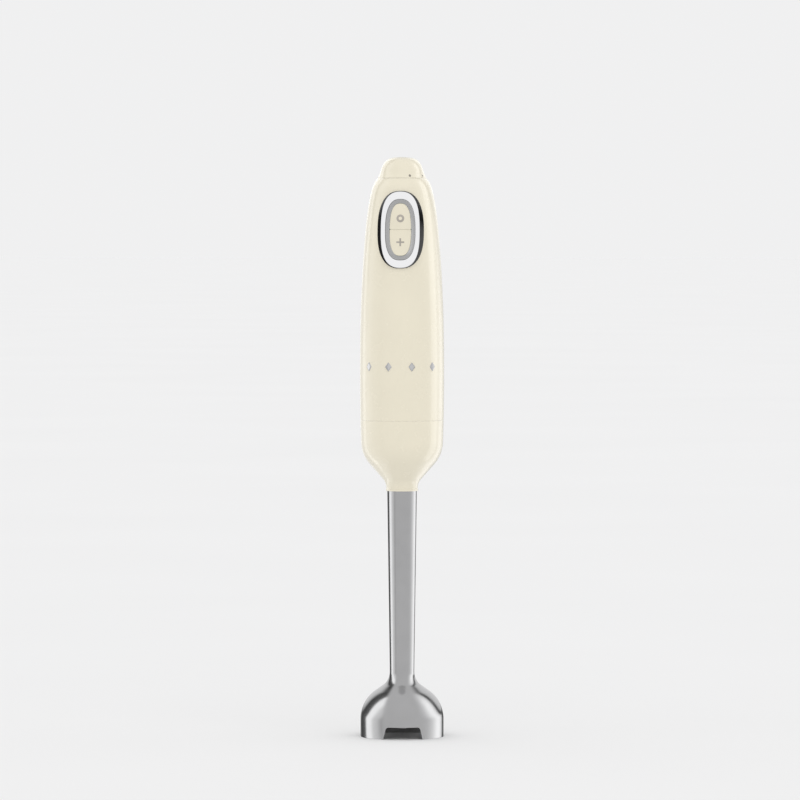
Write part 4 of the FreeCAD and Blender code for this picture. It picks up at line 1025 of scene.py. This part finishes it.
def bell():
    """Flared steel guard with notches in its rim."""
    outer = bell_outline(0.0)
    inner = bell_outline(STEEL_WALL)[::-1]
    inner_wall = BELL_R - STEEL_WALL
    rim = BELL_RIM_EDGE
    outer[-1] = (BELL_R, rim)
    inner[0] = (inner_wall, rim)
    foot = [(BELL_R - 0.3 * rim, 0.25 * rim), (BELL_R - rim, 0.0)]
    foot += [(inner_wall + rim, 0.0), (inner_wall + 0.3 * rim, 0.25 * rim)]
    obj = lathe("bell", outer + foot + inner, 240)
    below = 1.0 * MM
    half = NOTCH_FOOT + (NOTCH_FOOT - NOTCH_TOP) / NOTCH_HEIGHT * below
    outline = rounded_path([
        (-half, -below, 0), (half, -below, 0),
        (NOTCH_TOP, NOTCH_HEIGHT, NOTCH_ROUND), (-NOTCH_TOP, NOTCH_HEIGHT, NOTCH_ROUND),
    ], 10)
    first = prism("notch", outline, -CUT_END, -NOTCH_CUT_START)
    cuts = [turned_copy(first, NOTCH_TURN + 360.0 * i / NOTCHES, f"notch_{i}") for i in range(NOTCHES)]
    bpy.data.objects.remove(first)
    return boolean(obj, cuts)


finish_piece(bell(), "foot", "polished_steel", "blade_guard")

# ---------------------------------------------------------------- carried-over CAD parts

SLOT_OF = {part["node"]: part["material_slot"] for part in frame["record"]["subparts"]}

for node, obj in NODES.items():
    if obj.hide_render:
        continue
    obj.data.materials.clear()
    obj.data.materials.append(LOOKS[SLOT_OF[node]].material)
    obj.data.shade_smooth()
    obj.data.set_sharp_from_angle(angle=CAD_SMOOTH_ANGLE)

# ---------------------------------------------------------------- stage, light and camera

VIEW_TURN = 2.7             # degrees from straight in front to the camera, to the right
CAMERA_DISTANCE = 3.715
CAMERA_HEIGHT = 0.351
VIEW_HEIGHT = 0.552         # height of the picture at the object
AIM = Vector((-0.0014, 0, 0.2325))
FLOOR_REACH = 60.0
PALE = 0.872                # the floor's and the background's brightness
FILL = 0.90                 # light from all round, as it falls on dull surfaces
SUNS = (                    # azimuth from straight in front, elevation, strength
    (12.0, 42.0, 0.36),
    (-160.0, 45.0, 0.20),
)
SUN_SPREAD = 60.0
SUN_ON_FLOOR = sum(strength * math.sin(math.radians(rise)) / math.pi for _, rise, strength in SUNS)

# White cards that only the cream lacquer mirrors: azimuths of their edges, brightness
CARD_DISTANCE = 2.0
CARD_HEIGHT = 4.0
CARDS = (
    (-174.0, -116.0, 0.80),
    (-134.0, -120.0, 0.80),
    (86.0, 112.0, 1.15),
    (122.0, 172.0, 0.60),
)

# A panel that only the bezel and the pips mirror
FRONT_PANEL_PLACE = Vector((0, -1.5, 0.45))
FRONT_PANEL = (2.6, 1.7, 0.28)       # width, height, brightness

# What polish reflects, level with the object: brightness by how far a direction points to the
# rear (-1 front, 1 rear), for the left and the right half of the studio. Higher up, the bands
# stand nearer to the front: by BAND_DRIFT at most, half of it at the height that is given here.
LEFT_BANDS = (
    (-1.0, 0.64), (-0.62, 0.62), (-0.50, 0.50), (-0.42, 0.60), (-0.27, 0.80), (-0.02, 0.95),
    (0.16, 1.35), (0.44, 1.40), (0.56, 0.18), (0.70, 0.11), (0.90, 0.07), (0.97, 0.45),
    (1.04, 0.72), (1.12, 0.82), (1.5, 0.85),
)
RIGHT_BANDS = (
    (-1.0, 0.64), (-0.61, 0.66), (-0.30, 0.70), (-0.09, 0.82), (0.10, 1.00), (0.25, 1.20),
    (0.42, 1.45), (0.60, 1.42), (0.76, 1.05), (0.87, 0.12), (0.96, 0.12), (1.04, 0.65),
    (1.12, 0.80), (1.5, 0.85),
)
BAND_END = 1.5
BAND_DRIFT = 0.54
LEFT_HALF_DRIFT = 0.36
RIGHT_HALF_DRIFT = 0.14
LEFT_STRIP = (0.42, 0.62)   # where the even strip in front ends, as sideways share of ahead
RIGHT_STRIP = (0.30, 0.90)
HALVES_BLEND = 0.02         # half the width in which the left side turns into the right one
JUST_OVER_ONE = 1.001       # so that the division has no zero
STUDIO_TINT = (1.0, 1.0, 1.004, 1.0)


def floor():
    """A pale sheet, seen from above only; polish mirrors no more of it than lies under the bell."""
    bm = bmesh.new()
    for x, y in ((-1, -1), (1, -1), (1, 1), (-1, 1)):
        bm.verts.new((FLOOR_REACH * x, FLOOR_REACH * y, 0.0))
    bm.faces.new(bm.verts)
    mesh = bpy.data.meshes.new("floor")
    bm.to_mesh(mesh)
    bm.free()
    obj = bpy.data.objects.new("floor", mesh)
    bpy.context.scene.collection.objects.link(obj)
    look = Look("floor_paper").set(Roughness=0.9, Specular_IOR_Level=0.0)
    level = PALE / (FILL + SUN_ON_FLOOR)
    look.colour(look.noise(0.6, 3), (level * 0.995,) * 3, (level * 1.005,) * 3)
    tree = look.tree
    clear = tree.nodes.new("ShaderNodeBsdfTransparent")
    facing = tree.nodes.new("ShaderNodeNewGeometry")
    path = tree.nodes.new("ShaderNodeLightPath")
    reach = tree.nodes.new("ShaderNodeVectorMath")
    reach.operation = "LENGTH"
    tree.links.new(look.place, reach.inputs[0])
    away = math_node(tree, "GREATER_THAN", reach.outputs["Value"], BELL_R)
    mirrored = math_node(tree, "MULTIPLY", away, path.outputs["Is Glossy Ray"])
    unseen = math_node(tree, "MAXIMUM", facing.outputs["Backfacing"], mirrored)
    mix = tree.nodes.new("ShaderNodeMixShader")
    tree.links.new(unseen, mix.inputs["Fac"])
    tree.links.new(look.shader.outputs[0], mix.inputs[1])
    tree.links.new(clear.outputs[0], mix.inputs[2])
    tree.links.new(mix.outputs[0], tree.nodes["Material Output"].inputs["Surface"])
    mesh.materials.append(look.material)


def sun(name, azimuth, elevation, strength):
    """Soft distant light; azimuth is counted from straight in front, positive to the right."""
    light = bpy.data.lights.new(name, "SUN")
    light.energy = strength
    light.angle = math.radians(SUN_SPREAD)
    obj = bpy.data.objects.new(name, light)
    turn, rise = math.radians(azimuth + VIEW_TURN), math.radians(elevation)
    place = Vector((math.sin(turn) * math.cos(rise), -math.cos(turn) * math.cos(rise), math.sin(rise)))
    obj.rotation_euler = place.to_track_quat("Z", "Y").to_euler()
    obj.visible_glossy = False
    bpy.context.scene.collection.objects.link(obj)


def panel(name, place, aim, width, height, brightness, receivers):
    """A soft panel that is mirrored by the receivers only and lights nothing else."""
    light = bpy.data.lights.new(name, "AREA")
    light.shape = "RECTANGLE"
    light.size = width
    light.size_y = height
    light.energy = brightness * math.pi * width * height
    obj = bpy.data.objects.new(name, light)
    obj.location = place
    obj.rotation_euler = (aim - place).to_track_quat("-Z", "Y").to_euler()
    obj.visible_camera = False
    obj.visible_diffuse = False
    lit = bpy.data.collections.new(f"lit_by_{name}")
    for receiver in receivers:
        lit.objects.link(receiver)
    obj.light_linking.receiver_collection = lit
    bpy.context.scene.collection.objects.link(obj)


def card(name, first, last, brightness):
    """A tall card between two azimuths, counted from straight in front, positive to the right."""
    middle = math.radians((first + last) / 2 + VIEW_TURN)
    width = 2 * CARD_DISTANCE * math.sin(math.radians(last - first) / 2)
    aim = Vector((0, 0, CROWN / 2))
    place = aim + CARD_DISTANCE * Vector((math.sin(middle), -math.cos(middle), 0))
    panel(name, place, aim, width, CARD_HEIGHT, brightness, cream_pieces)


class Studio:
    """The world: plain and pale for the camera and for dull surfaces, banded for polish."""

    def __init__(self):
        world = bpy.data.worlds.new("studio")
        bpy.context.scene.world = world
        world.use_nodes = True
        self.tree = world.node_tree
        self.nodes = self.tree.nodes
        self.links = self.tree.links
        self.nodes.clear()
        direction = self.nodes.new("ShaderNodeTexCoord")
        turn = self.nodes.new("ShaderNodeVectorRotate")
        turn.rotation_type = "Z_AXIS"
        turn.inputs["Angle"].default_value = -math.radians(VIEW_TURN)
        self.links.new(direction.outputs["Generated"], turn.inputs["Vector"])
        split = self.nodes.new("ShaderNodeSeparateXYZ")
        self.links.new(turn.outputs["Vector"], split.inputs[0])
        self.x, self.y, self.z = split.outputs

    def bands(self, place, stops):
        """Brightness by place, from a list of (place, brightness)."""
        ramp = self.nodes.new("ShaderNodeFloatCurve")
        curve = ramp.mapping.curves[0]
        ramp.mapping.use_clip = False
        top = max(level for _, level in stops)
        while len(curve.points) < len(stops):
            curve.points.new(0.5, 0.5)
        for point, (at, level) in zip(curve.points, stops):
            point.location = ((at + 1) / (BAND_END + 1), level / top)
            point.handle_type = "VECTOR"
        ramp.mapping.update()
        self.links.new(self.scaled(place, -1.0, BAND_END, 0.0, 1.0), ramp.inputs["Value"])
        return self.scaled(ramp.outputs["Value"], 0.0, 1.0, 0.0, top)

    def scaled(self, value, from_low, from_high, low, high, smooth=False):
        node = self.nodes.new("ShaderNodeMapRange")
        if smooth:
            node.interpolation_type = "SMOOTHSTEP"
        numbers = {"From Min": from_low, "From Max": from_high, "To Min": low, "To Max": high}
        for name, number in numbers.items():
            node.inputs[name].default_value = number
        self.links.new(value, node.inputs["Value"])
        return node.outputs["Result"]

    def between(self, factor, first, second):
        node = self.nodes.new("ShaderNodeMix")
        self.links.new(factor, node.inputs["Factor"])
        for name, value in (("A", first), ("B", second)):
            if isinstance(value, (int, float)):
                node.inputs[name].default_value = value
            else:
                self.links.new(value, node.inputs[name])
        return node.outputs["Result"]

    def half(self, stops, half_drift, front_edges):
        """Brightness of one side: bands that drift with height, and an even strip in front."""
        height = math_node(self.tree, "MAXIMUM", self.z, 0.0)
        share = math_node(self.tree, "DIVIDE", height, math_node(self.tree, "ADD", height, half_drift))
        drift = math_node(self.tree, "MULTIPLY", share, BAND_DRIFT)
        place = math_node(self.tree, "ADD", self.y, drift)
        across = math_node(self.tree, "ABSOLUTE", self.x)
        ahead = math_node(self.tree, "SUBTRACT", JUST_OVER_ONE, self.y)
        sideways = math_node(self.tree, "DIVIDE", across, ahead)
        beside = self.scaled(sideways, *front_edges, 0.0, 1.0, smooth=True)
        return self.between(beside, stops[0][1], self.bands(place, stops))

    def build(self):
        side = self.scaled(self.x, -HALVES_BLEND, HALVES_BLEND, 0.0, 1.0)
        left = self.half(LEFT_BANDS, LEFT_HALF_DRIFT, LEFT_STRIP)
        right = self.half(RIGHT_BANDS, RIGHT_HALF_DRIFT, RIGHT_STRIP)
        shiny = self.between(side, left, right)
        path = self.nodes.new("ShaderNodeLightPath")
        dull = self.between(path.outputs["Is Camera Ray"], FILL, PALE)
        level = self.between(path.outputs["Is Glossy Ray"], dull, shiny)
        background = self.nodes.new("ShaderNodeBackground")
        self.links.new(level, background.inputs["Strength"])
        background.inputs["Color"].default_value = STUDIO_TINT
        output = self.nodes.new("ShaderNodeOutputWorld")
        self.links.new(background.outputs[0], output.inputs["Surface"])


def camera():
    """Long lens, near the height of the buttons, framed on the middle of the object."""
    lens = bpy.data.cameras.new("camera")
    obj = bpy.data.objects.new("camera", lens)
    bpy.context.scene.collection.objects.link(obj)
    turn = math.radians(VIEW_TURN)
    place = Vector((math.sin(turn), -math.cos(turn), 0)) * CAMERA_DISTANCE
    obj.location = (AIM.x + place.x, place.y, CAMERA_HEIGHT)
    sight = AIM - obj.location
    obj.rotation_euler = sight.to_track_quat("-Z", "Y").to_euler()
    lens.sensor_width = 36.0
    lens.lens = lens.sensor_width * sight.length / VIEW_HEIGHT
    lens.clip_end = 100.0
    bpy.context.scene.camera = obj


STEEL_PIECES = ("tube", "bell")
for obj in bpy.data.objects:
    if obj.type == "MESH" and obj.name not in STEEL_PIECES:
        obj.visible_glossy = False   # the steel mirrors the studio, not the handle above it
floor()
Studio().build()
for index, values in enumerate(SUNS):
    sun(f"sun_{index + 1}", *values)
for index, values in enumerate(CARDS):
    card(f"card_{index + 1}", *values)
field = Vector((0, 0, EGG_Z))
panel("front_panel", field + FRONT_PANEL_PLACE, field, *FRONT_PANEL, [bezel_ring, *pips])
camera()
bpy.context.scene.view_settings.view_transform = "Standard"
